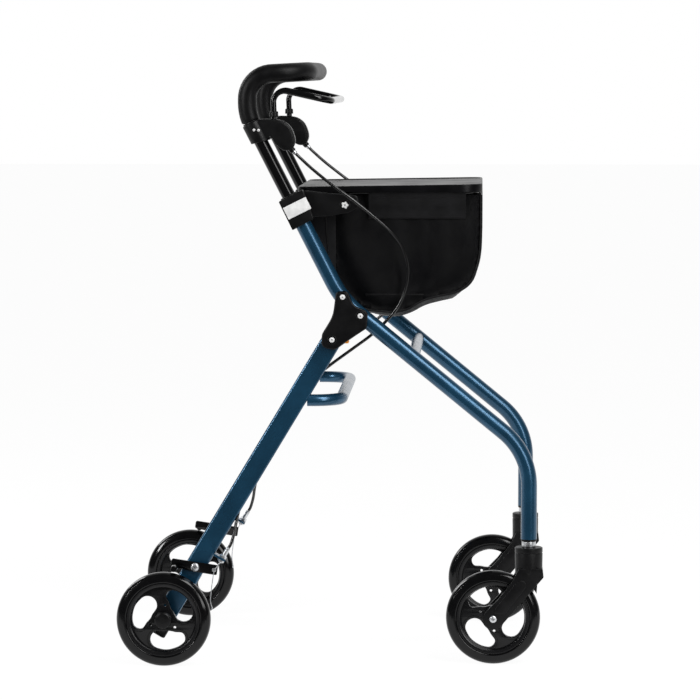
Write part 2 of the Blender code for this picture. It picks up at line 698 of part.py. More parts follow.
# Wheels
def web_hole(turn):
    """The outline of one egg-shaped hole: its outer edge, small end, inner edge and big end."""

    def ray(angle, radius):
        return Vector((math.cos(angle), 0, math.sin(angle))) * radius

    small, big = turn + SMALL_END_TURN, turn + BIG_END_TURN
    outer = [ray(turn + t, HOLE_EDGE_R) for t in (-0.05, 0.25)]
    steps = [math.radians(38 * i) for i in range(6)]
    outer += [ray(small, SMALL_END_AT) + ray(small + t - 0.1, SMALL_END_R) for t in steps]
    outer.append(ray(turn + 0.16, HOLE_INNER_R))
    return outer + [ray(big, BIG_END_AT) + ray(big + math.pi - 0.15 + t, BIG_END_R) for t in steps]


def rim_mesh(first_turn):
    """A moulded wheel: hub, web with three egg-shaped holes, and the ring under the tyre."""
    seat = WHEEL_R - TYRE_DEPTH - GAP
    bore = AXLE_R + BOLT_PLAY
    half = [(bore, HUB_HALF), (HUB_R, HUB_HALF), (HUB_R + 0.002, WEB_W / 2)]
    half += [(seat - RIM_RING, WEB_W / 2), (seat - RIM_RING * 0.7, RIM_W / 2), (seat, RIM_W / 2)]
    profile = half + [(r, -h) for r, h in reversed(half)]
    origin = Vector((0, 0, 0))
    piece = add("rim_pattern", turned(origin, Y, profile, WHEEL_SIDES, ring=True), RIM_PLASTIC)
    for i in range(3):
        turn = first_turn + i * 2 * math.pi / 3
        boolean(piece, prism(web_hole(turn), -RIM_W, RIM_W))
    bpy.context.view_layer.update()
    graph = bpy.context.evaluated_depsgraph_get()
    mesh = bpy.data.meshes.new_from_object(piece.evaluated_get(graph))
    for helper in [m.object for m in piece.modifiers] + [piece]:
        bpy.data.objects.remove(helper, do_unlink=True)
    return mesh


def tyre_mesh():
    """A tyre with rounded shoulders and flat sides, its flats touching the floor."""
    outer = WHEEL_R / math.cos(math.pi / WHEEL_SIDES)
    inner = WHEEL_R - TYRE_DEPTH
    half_w = TYRE_W / 2
    half = [(inner, half_w), (outer - 0.0085, half_w)]
    half += [(outer - 0.0030, half_w - 0.0030), (outer, half_w - 0.0090)]
    profile = half + [(r, -h) for r, h in reversed(half)]
    return turned(Vector((0, 0, 0)), Y, profile, WHEEL_SIDES, ring=True)


def wheel(place_name, joint, rim, tyre):
    """One wheel on its spinning joint. Wheels share their meshes."""
    for name, mesh, material in (("rim", rim, RIM_PLASTIC), ("tyre", tyre, TYRE)):
        piece = bpy.data.objects.new(f"{name}_{place_name}", mesh)
        bpy.context.collection.objects.link(piece)
        if not mesh.materials:
            mesh.materials.append(material)
        mesh.shade_smooth()
        mesh.set_sharp_from_angle(angle=math.radians(35))
        piece.parent = joint


# Casters
def fork_outline():
    """A blade's side view: wide under the housing, straight in front, hollow behind, round at the axle."""
    a = FRONT_AXLE
    stem = Vector((STEM_X, 0, a.z))
    top = HOUSING_BOTTOM + 0.0095 - a.z
    corners = [
        (stem + Vector((HOUSING_R, 0, top)), 0),
        (stem + Vector((NOTCH_DEPTH - HOUSING_R, 0, top)), 0.003),
        (a + Vector((0.0325, 0, 0.0640)), 0.030),
        (a + Vector((0.0090, 0, 0.0325)), 0.060),
    ]
    for turn in (183.5, 274.5):
        way = Vector((math.cos(math.radians(turn)), 0, math.sin(math.radians(turn))))
        corners.append((a + way * BOSS_R * 1.42, BOSS_R * 0.97))
    corners.append((stem + Vector((HOUSING_R + 0.0014, 0, 0.0665)), 0.003))
    return rounded(corners)


def caster(name, sign, rim, tyre):
    """A stem fixed in the side tube, and the fork, axle and wheel that swivel on it."""
    y = sign * HALF_FRAME
    swivel = empty("caster_" + name, (STEM_X, y, 0), frame)
    spin = empty("front_wheel_" + name, across(FRONT_AXLE, y), swivel)
    plug = (TUBE_R - TUBE_WALL) * math.cos(math.pi / TUBE_SIDES) - GAP
    spindle_end = HOUSING_TOP - SPINDLE_DEPTH
    profile = [(0, spindle_end), (SPINDLE_R, spindle_end), (SPINDLE_R, HOUSING_TOP + GAP)]
    profile += [(STEM_COLLAR_R, HOUSING_TOP + GAP), (STEM_COLLAR_R, FOOT.z - GAP), (plug, FOOT.z - GAP)]
    profile += [(plug, FOOT.z + STEM_PLUG), (0, FOOT.z + STEM_PLUG)]
    axis = Vector((STEM_X, y, 0))
    add("caster_stem_" + name, turned(axis, Z, profile, 12), STEEL, frame)

    half = HUB_HALF + HUB_SIDE_PLAY
    blades = prism(fork_outline(), y - half - BLADE, y + half + BLADE)
    fork = add("caster_fork_" + name, blades, BLACK_PLASTIC, swivel)
    profile = [(0, HOUSING_BOTTOM), (HOUSING_R, HOUSING_BOTTOM), (HOUSING_R, HOUSING_TOP), (0, HOUSING_TOP)]
    boolean(fork, turned(axis, Z, profile, 20), "UNION")
    corner = Vector((STEM_X + NOTCH_DEPTH - HOUSING_R, 0, HOUSING_BOTTOM + NOTCH_H))
    notch = [corner + Vector((x, 0, z)) for x, z in ((-0.05, -0.05), (0, -0.05), (0, 0), (-0.05, 0))]
    boolean(fork, prism(notch, y - half + 0.0005, y + half - 0.0005))
    drill(fork, across(FRONT_AXLE, y), Y, WHEEL_R + WHEEL_CLEARANCE, half, WHEEL_SIDES)
    drill(fork, across(FRONT_AXLE, y), Y, AXLE_R + BOLT_PLAY, 2 * HUB_W, 8)
    bore = SPINDLE_R / math.cos(math.pi / 12) + GAP
    floor = HOUSING_TOP - SPINDLE_DEPTH - 0.001
    above = HOUSING_TOP + 0.01
    boolean(fork, turned(axis, Z, [(0, floor), (bore, floor), (bore, above), (0, above)], 12))
    bolt = through_bolt(across(FRONT_AXLE, y), Y * sign, half + BLADE + GAP, AXLE_R, 0.0065, 0.0035)
    add("fork_axle_bolt_" + name, bolt, STEEL, swivel)
    wheel("front_" + name, spin, rim, tyre)


# Handle, grip and brake lever
handle = empty("handle_height", mast(POST_BOTTOM), frame)
PIVOT = mast(CLAMP_AT + 0.006, 0.0296)
lever_joint = empty("brake_lever", PIVOT, handle)


def handle_path(step=math.radians(18)):
    """Up one post, round over the top, across, and down the other post."""
    upright_x = KNEE.x - HANDLE_BACK
    rise = HANDLE_BACK * math.tan(MAST_ANGLE)
    lower = Vector((upright_x, 0, KNEE.z + rise))
    upper = Vector((upright_x, 0, KNEE.z + HANDLE_TOP))
    front = upper + Vector((HANDLE_REACH, 0, HANDLE_REACH * math.tan(HANDLE_RISE)))
    half = [across(p, -HALF_FRAME) for p in (mast(POST_BOTTOM), lower, upper, front)]
    corners = half + [across(p, HALF_FRAME) for p in reversed(half)]
    radii = [POST_BEND_R, TOP_BEND_R, PLAN_BEND_R]
    return bent(corners, radii + radii[::-1], step)


def trimmed(path, cut):
    """The path without a length at each end."""
    for _ in range(2):
        left = cut
        while (path[1] - path[0]).length < left:
            left -= (path[1] - path[0]).length
            path = path[1:]
        path = [path[0] + (path[1] - path[0]).normalized() * left] + path[1:]
        path = path[::-1]
    return path


def handle_tube():
    path = handle_path()
    tube = sweep(path, circle(POST_R, POST_SIDES), circle(POST_R - POST_WALL, POST_SIDES))
    add("handle_tube", tube, BLACK_PAINT, handle)
    grip = sweep(trimmed(path, GRIP_START), circle(GRIP_R, POST_SIDES), circle(POST_BORE, POST_SIDES))
    add("foam_grip", grip, FOAM, handle)


def brake_housing(name, sign):
    """A clamp round the post, and the rounded body in front of it that holds the lever's end."""
    y = sign * HALF_FRAME
    shape = rounded(
        [
            (mast(CLAMP_AT + CLAMP_H, 0.002), 0),
            (mast(CLAMP_AT + CLAMP_H, 0.0180), 0.004),
            (mast(CLAMP_AT + 0.0190, 0.0370), 0.010),
            (mast(CLAMP_AT + 0.0060, 0.0560), 0.012),
            (mast(CLAMP_AT - 0.0280, 0.0510), 0.012),
            (mast(CLAMP_AT - 0.0370, 0.0400), 0.004),
            (mast(CLAMP_AT - 0.0360, 0.0290), 0.006),
            (mast(CLAMP_AT - 0.0160, 0.0180), 0.010),
            (mast(CLAMP_AT, 0.0120), 0.002),
            (mast(CLAMP_AT, 0.002), 0),
        ]
    )
    body = prism(shape, y - HOUSING_W / 2, y + HOUSING_W / 2)
    piece = add("brake_housing_" + name, body, BLACK_PLASTIC, handle)
    edge = piece.modifiers.new("Edge", "BEVEL")
    edge.width = 0.003
    edge.segments = 1
    edge.limit_method = "ANGLE"
    edge.angle_limit = math.radians(60)
    profile = [(0, 0), (CLAMP_R, 0), (CLAMP_R, CLAMP_H), (0, CLAMP_H)]
    boolean(piece, turned(across(mast(CLAMP_AT), y), MAST_UP, profile, 16), "UNION")
    outlet = turned(across(CABLE_START - CABLE_WAY * OUTLET, y), CABLE_WAY, ferrule_profile(), 8)
    boolean(piece, outlet, "UNION")
    drill(piece, across(mast(CLAMP_AT), y), MAST_UP, (POST_R + GAP) / math.cos(math.pi / 12), 2 * CLAMP_H)
    half = LEVER_R + SLOT_PLAY
    low = PIVOT + Vector((0, 0, -0.0085))
    slot = [low + Vector((-0.0085, 0, 0)), low + Vector((0.0085, 0, 0)), low + Vector((0.0085, 0, 0.040))]
    slot += [low + Vector((-0.024, 0, 0.040)), low + Vector((-0.0085, 0, 0.010))]
    boolean(piece, prism(slot, y - half, y + half))
    drill(piece, across(PIVOT, y), Y, PIN_R + BOLT_PLAY, HOUSING_W, 8)


CABLE_START = mast(0.2382, 0.0405)
CABLE_WAY = Vector((math.cos(math.radians(44)), 0, -math.sin(math.radians(44))))


def ferrule_profile():
    """The stub that the cable comes out of."""
    end = OUTLET - GAP
    return [(0, 0), (0.0048, 0), (0.0048, end - 0.003), (0.0036, end - 0.0025), (0.0036, end), (0, end)]


def lever_pin(name, sign):
    half = HOUSING_W / 2 + GAP
    shape = through_bolt(across(PIVOT, sign * HALF_FRAME), Y * sign, half, PIN_R, 0.0042, 0.0014)
    add("lever_pin_" + name, shape, STEEL, handle)


def brake_lever():
    """A U-shaped rod: up out of each housing, forward over the tray and across under the grip."""
    elbow = PIVOT + Vector((-0.0024, 0, LEVER_RISE))
    front = PIVOT + Vector((LEVER_REACH, 0, LEVER_RISE - LEVER_DROP))
    low = PIVOT + Vector((0, 0, 0.006))
    half = [across(p, -HALF_FRAME) for p in (low, elbow, front)]
    corners = half + [across(p, HALF_FRAME) for p in reversed(half)]
    path = bent(corners, [LEVER_BEND_R, LEVER_PLAN_R, LEVER_PLAN_R, LEVER_BEND_R], math.radians(18))
    piece = add("brake_lever", sweep(path, circle(LEVER_R, 8)), BLACK_PAINT, lever_joint)
    for sign in SIDES.values():
        profile = [(0, -LEVER_R), (0.007, -LEVER_R), (0.007, LEVER_R), (0, LEVER_R)]
        boolean(piece, turned(across(PIVOT, sign * HALF_FRAME), Y, profile, 12), "UNION")
        drill(piece, across(PIVOT, sign * HALF_FRAME), Y, PIN_R + BOLT_PLAY, HOUSING_W, 8)


# Collars, bag frame, tray and bag
ARM_SCREW = mast(ARM_SCREW_UP, ARM_SCREW_OUT)
TRAY_FRONT = ARM_SCREW.x + TRAY_FORE
TRAY_BACK = ARM_SCREW.x - TRAY_AFT
TRAY_TOP = ARM_SCREW.z + TRAY_ABOVE
TRAY_HALF_W = HALF_FRAME - TRAY_INSET


def collar(name, sign):
    """A moulded collar on the tube's top, with the arm that carries the tray and the bag."""
    y = sign * HALF_FRAME
    block = rounded(
        [
            (mast(COLLAR_BOTTOM, -COLLAR_BACK), 0.001),
            (mast(COLLAR_TOP, -COLLAR_BACK), 0.001),
            (mast(COLLAR_TOP, COLLAR_FRONT + 0.004), 0.002),
            (mast(COLLAR_BOTTOM, COLLAR_FRONT - 0.004), 0.002),
        ]
    )
    half = COLLAR_W / 2
    piece = add("collar_" + name, prism(block, y - half, y + half), BLACK_PLASTIC, frame)
    edge = piece.modifiers.new("Edge", "BEVEL")
    edge.width = 0.002
    edge.segments = 1
    edge.limit_method = "ANGLE"
    edge.angle_limit = math.radians(60)
    arm = rounded(
        [
            (mast(COLLAR_TOP - 0.004, 0.006), 0),
            (mast(COLLAR_TOP - 0.004, 0.026), 0.004),
            (ARM_SCREW + Vector((0.0130, 0, 0.0138)), 0.012),
            (ARM_SCREW + Vector((0.0130, 0, -0.0165)), 0.014),
            (ARM_SCREW + Vector((-0.0300, 0, -0.0195)), 0.010),
            (mast(COLLAR_BOTTOM + 0.002, 0.0200), 0.010),
            (mast(COLLAR_BOTTOM + 0.002, 0.006), 0),
        ]
    )
    faces = sorted((sign * (HALF_FRAME - ARM_PLATE_T * 0.4), sign * (HALF_FRAME + ARM_PLATE_T * 0.6)))
    boolean(piece, prism(arm, *faces), "UNION")
    profile = [(0, LUG_OUT + GAP), (0.008, LUG_OUT + GAP), (0.008, HALF_FRAME), (0, HALF_FRAME)]
    boolean(piece, turned(ARM_SCREW, Y * sign, profile, 12), "UNION")
    bore = TUBE_R / math.cos(math.pi / 16) + GAP
    lip = COLLAR_TOP - TUBE_TOP
    opening = [(0, -0.06), (bore, -0.06), (bore, 0.0)]
    opening += [(POST_R + BOLT_PLAY, GAP), (POST_R + BOLT_PLAY, lip + 0.01)]
    boolean(piece, turned(across(mast(TUBE_TOP + GAP), y), MAST_UP, opening + [(0, lip + 0.01)], 16))
    drill(piece, across(ARM_SCREW, y), Y, ARM_SCREW_R + BOLT_PLAY, 2 * COLLAR_W)


LUG_OUT = TRAY_HALF_W - 0.002  # the lugs' outer faces
LUG_T = 0.003
WIRE_Z = TRAY_TOP - TRAY_RIM - TRAY_WALL - GAP - WIRE_R
WIRE_HALF_W = TRAY_HALF_W - TRAY_WALL - GAP - WIRE_R - 0.002
WIRE_FRONT = TRAY_FRONT - TRAY_WALL - GAP - WIRE_R - 0.002
WIRE_BACK = TRAY_BACK + 0.026


def arm_screw(name, sign):
    """The screw that holds the bag frame's lug to the arm."""
    inner = LUG_OUT - LUG_T - GAP
    outer = HALF_FRAME + ARM_PLATE_T * 0.6 + GAP
    middle = (inner + outer) / 2
    place = across(ARM_SCREW, sign * middle)
    shape = through_bolt(place, Y * sign, (outer - inner) / 2, ARM_SCREW_R, 0.0052, 0.003)
    add("arm_screw_" + name, shape, STEEL, frame)


def plan_loop(back, front, half_w, radii, z, step=math.radians(22.5)):
    """A rounded rectangle seen from above. The radii are the back and the front corners'."""
    a, b = Vector((back, -half_w, z)), Vector((front, -half_w, z))
    c, d = Vector((front, half_w, z)), Vector((back, half_w, z))
    corners = [a, b, c, d]
    points = []
    for i, corner in enumerate(corners):
        points += corner_arc(corners[i - 1], corner, corners[(i + 1) % 4], radii[i in (1, 2)], step)
    return points


def bag_frame():
    """A wire loop under the tray, with a lug on each side for the arm's screw."""
    path = plan_loop(WIRE_BACK, WIRE_FRONT, WIRE_HALF_W, (0.020, TRAY_CORNER - 0.008), WIRE_Z)
    bm = bmesh.new()
    rings = []
    for i, point in enumerate(path):
        ahead = (path[(i + 1) % len(path)] - path[i - 1]).normalized()
        out = ahead.cross(Z)
        rings.append([bm.verts.new(point + out * x + Z * z) for x, z in circle(WIRE_R, 8)])
    for i in range(len(rings)):
        bridge(bm, rings[i - 1], rings[i])
    piece = add("bag_frame", finished_mesh(bm, "loop"), BLACK_PAINT, frame)
    for sign in SIDES.values():
        top = WIRE_Z - 0.0015
        corners = [(Vector((ARM_SCREW.x + x, 0, top)), 0) for x in (-0.009, 0.009)]
        corners += [(ARM_SCREW + Vector((x, 0, -0.009)), 0.008) for x in (0.009, -0.009)]
        faces = sorted((sign * (LUG_OUT - LUG_T), sign * LUG_OUT))
        boolean(piece, prism(rounded(corners), *faces), "UNION")
        bridge_faces = sorted((sign * WIRE_HALF_W, sign * (LUG_OUT - LUG_T / 2)))
        strip = [Vector((ARM_SCREW.x + x, 0, top - 0.0030)) for x in (-0.0085, 0.0085)]
        strip += [p + Vector((0, 0, 0.0025)) for p in reversed(strip)]
        boolean(piece, prism(strip, *bridge_faces), "UNION")
        drill(piece, across(ARM_SCREW, sign * LUG_OUT), Y, ARM_SCREW_R + BOLT_PLAY, 2 * LUG_T, 10)


def tray():
    """A shallow tray: a plate with a low raised edge and a skirt that hides the wire."""
    joint = empty("tray_lift", (0, 0, TRAY_TOP), frame)
    plate = TRAY_TOP - TRAY_RIM
    levels = [
        (TRAY_WALL, TRAY_TOP - TRAY_SKIRT),
        (0, TRAY_TOP - TRAY_SKIRT),
        (0, TRAY_TOP - 0.001),
        (0.001, TRAY_TOP),
        (TRAY_WALL, TRAY_TOP),
        (TRAY_WALL + 0.003, plate),
    ]
    bm = bmesh.new()
    loops = []
    for inset, z in levels + [(TRAY_WALL, plate - TRAY_WALL)]:
        radii = (TRAY_BACK_CORNER - inset, TRAY_CORNER - inset)
        shape = plan_loop(TRAY_BACK + inset, TRAY_FRONT - inset, TRAY_HALF_W - inset, radii, z)
        loops.append([bm.verts.new(p) for p in shape])
    for one, two in zip(loops, loops[1:-1]):
        bridge(bm, one, two)
    bridge(bm, loops[0], loops[-1])
    bm.faces.new(loops[-2])
    bm.faces.new(loops[-1])
    add("tray", finished_mesh(bm, "tray"), BLACK_PLASTIC, joint)


def bag_outline(inset):
    """The bag's side panel: an upright front, a round lower corner and a bottom that rises to the back."""
    top = WIRE_Z - WIRE_R - GAP
    stem = Vector((STEM_X, 0, KNEE.z))
    up = 0.02 if inset else 0
    corners = [
        (stem + Vector((-0.3130 + inset, 0, top - KNEE.z + up)), 0),
        (stem + Vector((-0.3130 + inset, 0, 0.0100)), 0.030),
        (stem + Vector((-0.2560, 0, -0.0150 + inset)), 0.020),
        (stem + Vector((-0.2100, 0, -0.0255 + inset)), 0.020),
        (stem + Vector((-0.1500, 0, 0.0000 + inset)), 0.050),
        (stem + Vector((-0.0870 - inset, 0, 0.0180 + inset)), 0.040),
        (stem + Vector((-0.0770 - inset, 0, 0.0800)), 0.060),
        (stem + Vector((-0.0750 - inset, 0, top - KNEE.z + up)), 0),
    ]
    return rounded(corners, math.radians(18))


def bag():
    """The open-topped fabric bag that hangs from the wire."""
    piece = add("bag", prism(bag_outline(0), -BAG_HALF_W, BAG_HALF_W), FABRIC, frame)
    inner = BAG_HALF_W - BAG_WALL
    boolean(piece, prism(bag_outline(BAG_WALL), -inner, inner))


# Cables
def cable(name, points, joint):
    """A cable housing along a smooth route."""
    curve = bpy.data.curves.new(name, "CURVE")
    curve.dimensions = "3D"
    curve.bevel_depth = CABLE_R
    curve.bevel_resolution = 2
    curve.use_fill_caps = True
    route = spline(points, CABLE_STEP)
    line = curve.splines.new("POLY")
    line.points.add(len(route) - 1)
    for spot, point in zip(line.points, route):
        spot.co = (*point, 1)
    curve.materials.append(CABLE)
    piece = bpy.data.objects.new(name, curve)
    bpy.context.collection.objects.link(piece)
    piece.parent = joint
    piece.matrix_parent_inverse = joint.matrix_world.inverted()


def upper_cable_route(sign):
    """From the brake housing, outside the tray and the arm, down beside the bag to the side tube."""
    route = [
        (KNEE + Vector((-0.0447, 0, 0.2052)), 0.2150),
        (KNEE + Vector((-0.0097, 0, 0.1777)), 0.2225),
        (KNEE + Vector((0.0153, 0, 0.1602)), 0.2250),
        (KNEE + Vector((0.0454, 0, 0.1365)), 0.2235),
        (KNEE + Vector((0.0729, 0, 0.1127)), 0.2160),
        (KNEE + Vector((0.0928, 0, 0.0876)), 0.2060),
        (KNEE + Vector((0.1029, 0, 0.0577)), 0.1965),
        (KNEE + Vector((0.1033, 0, 0.0327)), 0.1905),
        (KNEE + Vector((0.0954, 0, 0.0026)), 0.1875),
        (KNEE + Vector((0.0828, 0, -0.0199)), 0.1870),
    ]
    start = [across(CABLE_START + CABLE_WAY * ahead, sign * HALF_FRAME) for ahead in (0, 0.010)]
    middle = [across(point, sign * y) for point, y in route]
    split = across(CABLE_SPLIT, sign * 0.1870)
    way = (across(KNEE + Vector((0.0449, 0, -0.0582)), sign * 0.1890) - split).normalized()
    return start + middle + [split - way * GAP]


# The whole walker
cross_tube()
leg_bridge()
handle_tube()
brake_lever()
bag_frame()
tray()
bag()
tyre = tyre_mesh()
for side, sign in SIDES.items():
    side_tube(side, sign)
    knee_plates(side, sign)
    knee_bolts(side, sign)
    release_button(side, sign)
    rear_leg(side, sign)
    rear_axle(side, sign)
    adjuster(side, sign)
    brake_arm(side, sign)
    brake_pivot(side, sign)
    rear_spin = empty("rear_wheel_" + side, across(REAR_AXLE, sign * HALF_TRACK), leg_joint)
    wheel("rear_" + side, rear_spin, rim_mesh(REAR_HOLE_TURN[side]), tyre)
    caster(side, sign, rim_mesh(FRONT_HOLE_TURN[side]), tyre)
    brake_housing(side, sign)
    lever_pin(side, sign)
    collar(side, sign)
    arm_screw(side, sign)
    cable("brake_cable_upper_" + side, upper_cable_route(sign), frame)
    cable("brake_cable_lower_" + side, leg_cable_route(sign), leg_joint)
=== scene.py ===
# %% [markdown]
# # An indoor walker, dressed over its CAD frame
#
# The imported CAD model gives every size. This script loads it, builds a finer piece over each plain solid
# and gives every surface a finish made of nodes. Everything is in metres: X points forward, Y to the
# walker's left and Z up. Each finished piece rides on the CAD body that it belongs to, so it follows that
# body's joint.

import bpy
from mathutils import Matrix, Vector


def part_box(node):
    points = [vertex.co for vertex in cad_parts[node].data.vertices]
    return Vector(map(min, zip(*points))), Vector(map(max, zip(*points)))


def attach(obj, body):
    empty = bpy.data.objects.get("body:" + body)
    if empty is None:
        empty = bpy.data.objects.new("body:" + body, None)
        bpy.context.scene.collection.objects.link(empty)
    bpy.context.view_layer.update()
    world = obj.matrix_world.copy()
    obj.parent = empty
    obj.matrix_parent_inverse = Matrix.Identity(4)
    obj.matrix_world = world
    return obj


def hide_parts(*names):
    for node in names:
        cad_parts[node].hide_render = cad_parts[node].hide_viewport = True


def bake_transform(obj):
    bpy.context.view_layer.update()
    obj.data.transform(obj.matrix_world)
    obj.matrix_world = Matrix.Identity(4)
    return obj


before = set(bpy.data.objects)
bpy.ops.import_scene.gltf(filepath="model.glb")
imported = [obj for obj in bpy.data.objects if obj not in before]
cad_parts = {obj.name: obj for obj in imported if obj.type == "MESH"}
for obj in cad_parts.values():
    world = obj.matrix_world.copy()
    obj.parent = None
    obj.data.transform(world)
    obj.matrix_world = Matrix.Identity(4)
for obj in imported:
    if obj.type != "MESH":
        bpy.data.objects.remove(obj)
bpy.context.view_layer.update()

# %% [markdown]
# ## Where things are
#
# A side view fixes nearly everything, because both sides of the walker are alike. The wheels come first,
# then the corners of the bent side tube. `mast` places a point up that tube's upper part, and `leg` one
# up the rear leg, so a bolt or a clamp is written as a maker would measure it: so far up, and so far in
# front.

# %% Side view
import math

from mathutils import Quaternion, Vector

Y, Z = Vector((0, 1, 0)), Vector((0, 0, 1))
SIDES = {"right": -1, "left": 1}


def spot(x, z, y=0.0):
    """A point of the side view, y away from the middle."""
    return Vector((x, y, z))


def across(point, y):
    """The same point of the side view, at another distance from the middle."""
    return spot(point.x, point.z, y)


def polar(centre, radius, turn):
    return centre + spot(math.cos(turn), math.sin(turn)) * radius


WHEEL_R, WHEELBASE, TRAIL, HOUSING_R = 0.075, 0.522, 0.0564, 0.022
HALF_FRAME, HALF_TRACK = 0.210, 0.250
LENGTH = WHEEL_R + WHEELBASE + TRAIL + HOUSING_R
REAR_AXLE = spot(WHEEL_R - LENGTH / 2, WHEEL_R)
FRONT_AXLE = REAR_AXLE + spot(WHEELBASE, 0)
STEM_X = FRONT_AXLE.x + TRAIL
HOUSING_BOTTOM = WHEEL_R + math.sqrt(WHEEL_R**2 - (TRAIL - HOUSING_R) ** 2) + 0.004
HOUSING_TOP = HOUSING_BOTTOM + 0.042
FOOT = spot(STEM_X, HOUSING_TOP + 0.009)
print("length over the wheels and the fork:", round(LENGTH, 4))

# %% Mast and leg
SLOPE, MAST_ANGLE = math.radians(39.25), math.radians(62.9)
LOWER_CORNER = FOOT + spot(0, 0.141)
KNEE = LOWER_CORNER + spot(-0.297, 0.297 * math.tan(SLOPE))
MAST_UP = spot(-math.cos(MAST_ANGLE), math.sin(MAST_ANGLE))
MAST_FRONT = spot(math.sin(MAST_ANGLE), math.cos(MAST_ANGLE))
DOWN_SLOPE = spot(math.cos(SLOPE), -math.sin(SLOPE))
LEG_PIVOT = KNEE - spot(0.0151, 0.0624)
LEG_LENGTH = (LEG_PIVOT - REAR_AXLE).length
LEG_UP = (LEG_PIVOT - REAR_AXLE) / LEG_LENGTH
LEG_FRONT = spot(LEG_UP.z, -LEG_UP.x)


def mast(up, front=0.0):
    return KNEE + MAST_UP * up + MAST_FRONT * front


def leg(up, front=0.0):
    return REAR_AXLE + LEG_UP * up + LEG_FRONT * front


TUBE_TOP = 0.178
stem_in_frame = sum(corner.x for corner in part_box("caster_stem_right")) / 2
print("stem: here", round(STEM_X, 4), "in the frame", round(stem_in_frame, 4))

# %% [markdown]
# ## Camera
#
# The photograph looks along +Y from the walker's right, a little from above, through a long lens. A long
# lens keeps the far side nearly behind the near one.

# %% Camera
import bpy

LENS_MM, DOWN, ASIDE = 172.64, math.radians(4.675), math.radians(2.233)
camera_data = bpy.data.cameras.new("camera")
camera_data.sensor_width = 36
camera_data.lens = LENS_MM
camera = bpy.data.objects.new("camera", camera_data)
bpy.context.scene.collection.objects.link(camera)
camera.location = (0.2380, -5.5068, 0.9340)
camera.rotation_euler = (math.radians(90) - DOWN, 0, ASIDE)
bpy.context.scene.camera = camera
print("camera", round(camera.location.length, 3), "m from the origin")

# %% [markdown]
# ## Finishes
#
# No real surface has one colour or one gloss. A finish here is a colour that drifts in patches, a
# roughness that drifts with it, and a bump at the size of the real grain. Colours are written as on a
# screen, in sRGB, and `linear` turns them into the numbers that the shader wants. `node` adds one node and
# links what flows into it.


def linear(hex_colour):
    parts = [int(hex_colour[i : i + 2], 16) / 255 for i in (1, 3, 5)]
    return [c / 12.92 if c <= 0.04045 else ((c + 0.055) / 1.055) ** 2.4 for c in parts] + [1]


def node(tree, kind, values=(), **settings):
    """Adds a node. What a socket gets is a value, or another node's output, which is linked to it."""
    made = tree.nodes.new(kind)
    for name, value in settings.items():
        setattr(made, name, value)
    for name, value in dict(values).items():
        if isinstance(value, bpy.types.NodeSocket):
            tree.links.new(value, made.inputs[name])
        else:
            made.inputs[name].default_value = value
    return made


def patches(tree, shader, size, colours, rough):
    """Lets the colour and the roughness drift together, in patches of a size in metres."""
    place = node(tree, "ShaderNodeTexCoord").outputs
    values = {"Vector": place["Object"], "Scale": 1 / size, "Detail": 4, "Roughness": 0.55}
    noise = node(tree, "ShaderNodeTexNoise", values).outputs["Fac"]
    ramp = node(tree, "ShaderNodeValToRGB", {"Fac": noise})
    for stop, position, colour in zip(ramp.color_ramp.elements, (0.35, 0.65), colours):
        stop.position = position
        stop.color = linear(colour)
    tree.links.new(ramp.outputs["Color"], shader.inputs["Base Color"])
    values = {"Value": noise, "From Min": 0.3, "From Max": 0.7, "To Min": rough[0], "To Max": rough[1]}
    drift = node(tree, "ShaderNodeMapRange", values)
    tree.links.new(drift.outputs["Result"], shader.inputs["Roughness"])
    return place


print("a mid grey on the screen is", round(linear("#808080")[0], 3), "in the shader")


# %% Grain, cells and weave
def noise_height(tree, place, size):
    values = {"Vector": place["Object"], "Scale": 1 / size, "Detail": 3}
    return node(tree, "ShaderNodeTexNoise", values).outputs["Fac"]


def cell_height(tree, place, size):
    """Open foam: small round cells."""
    values = {"Vector": place["Object"], "Scale": 1 / size, "Randomness": 1.0}
    return node(tree, "ShaderNodeTexVoronoi", values).outputs["Distance"]


def weave_height(tree, place, yarn):
    """Cloth: two crossed sets of yarns, each over and under the other."""
    over = node(tree, "ShaderNodeTexChecker", {"Vector": place["UV"], "Scale": 0.5 / yarn})
    mixed = {"Factor": over.outputs["Fac"]}
    values = {"Vector": place["UV"], "Scale": math.pi / (20 * yarn), "Distortion": 0.4, "Detail": 1}
    for direction, socket in (("X", "A"), ("Y", "B")):
        yarns = node(tree, "ShaderNodeTexWave", values, bands_direction=direction)
        mixed[socket] = yarns.outputs["Fac"]
    return node(tree, "ShaderNodeMix", mixed).outputs["Result"]


def finish(name, slot, colours, patch, rough, grain, depth, height=noise_height, **on_shader):
    """A finish: patch and grain are sizes in metres, depth the bump's height, rough a low and a high."""
    material = bpy.data.materials.new(name)
    material.use_nodes = True
    tree = material.node_tree
    shader = tree.nodes["Principled BSDF"]
    for key, value in on_shader.items():
        shader.inputs[key.replace("_", " ")].default_value = value
    place = patches(tree, shader, patch, colours, rough)
    values = {"Strength": 1.0, "Distance": depth, "Height": height(tree, place, grain)}
    bump = node(tree, "ShaderNodeBump", values)
    tree.links.new(bump.outputs["Normal"], shader.inputs["Normal"])
    material.diffuse_color = linear(colours[0])
    return material


# Zinc-plated steel, turned or pressed: the plating scatters a little, so lamps show as soft pale spots.
STEEL = finish(
    "zinc_plated_steel", "steel", ("#c6c8cb", "#dee0e2"), 0.004, (0.28, 0.42), 0.0003, 1e-5, Metallic=1.0
)
print("a bright plating is all metal:", STEEL.name)

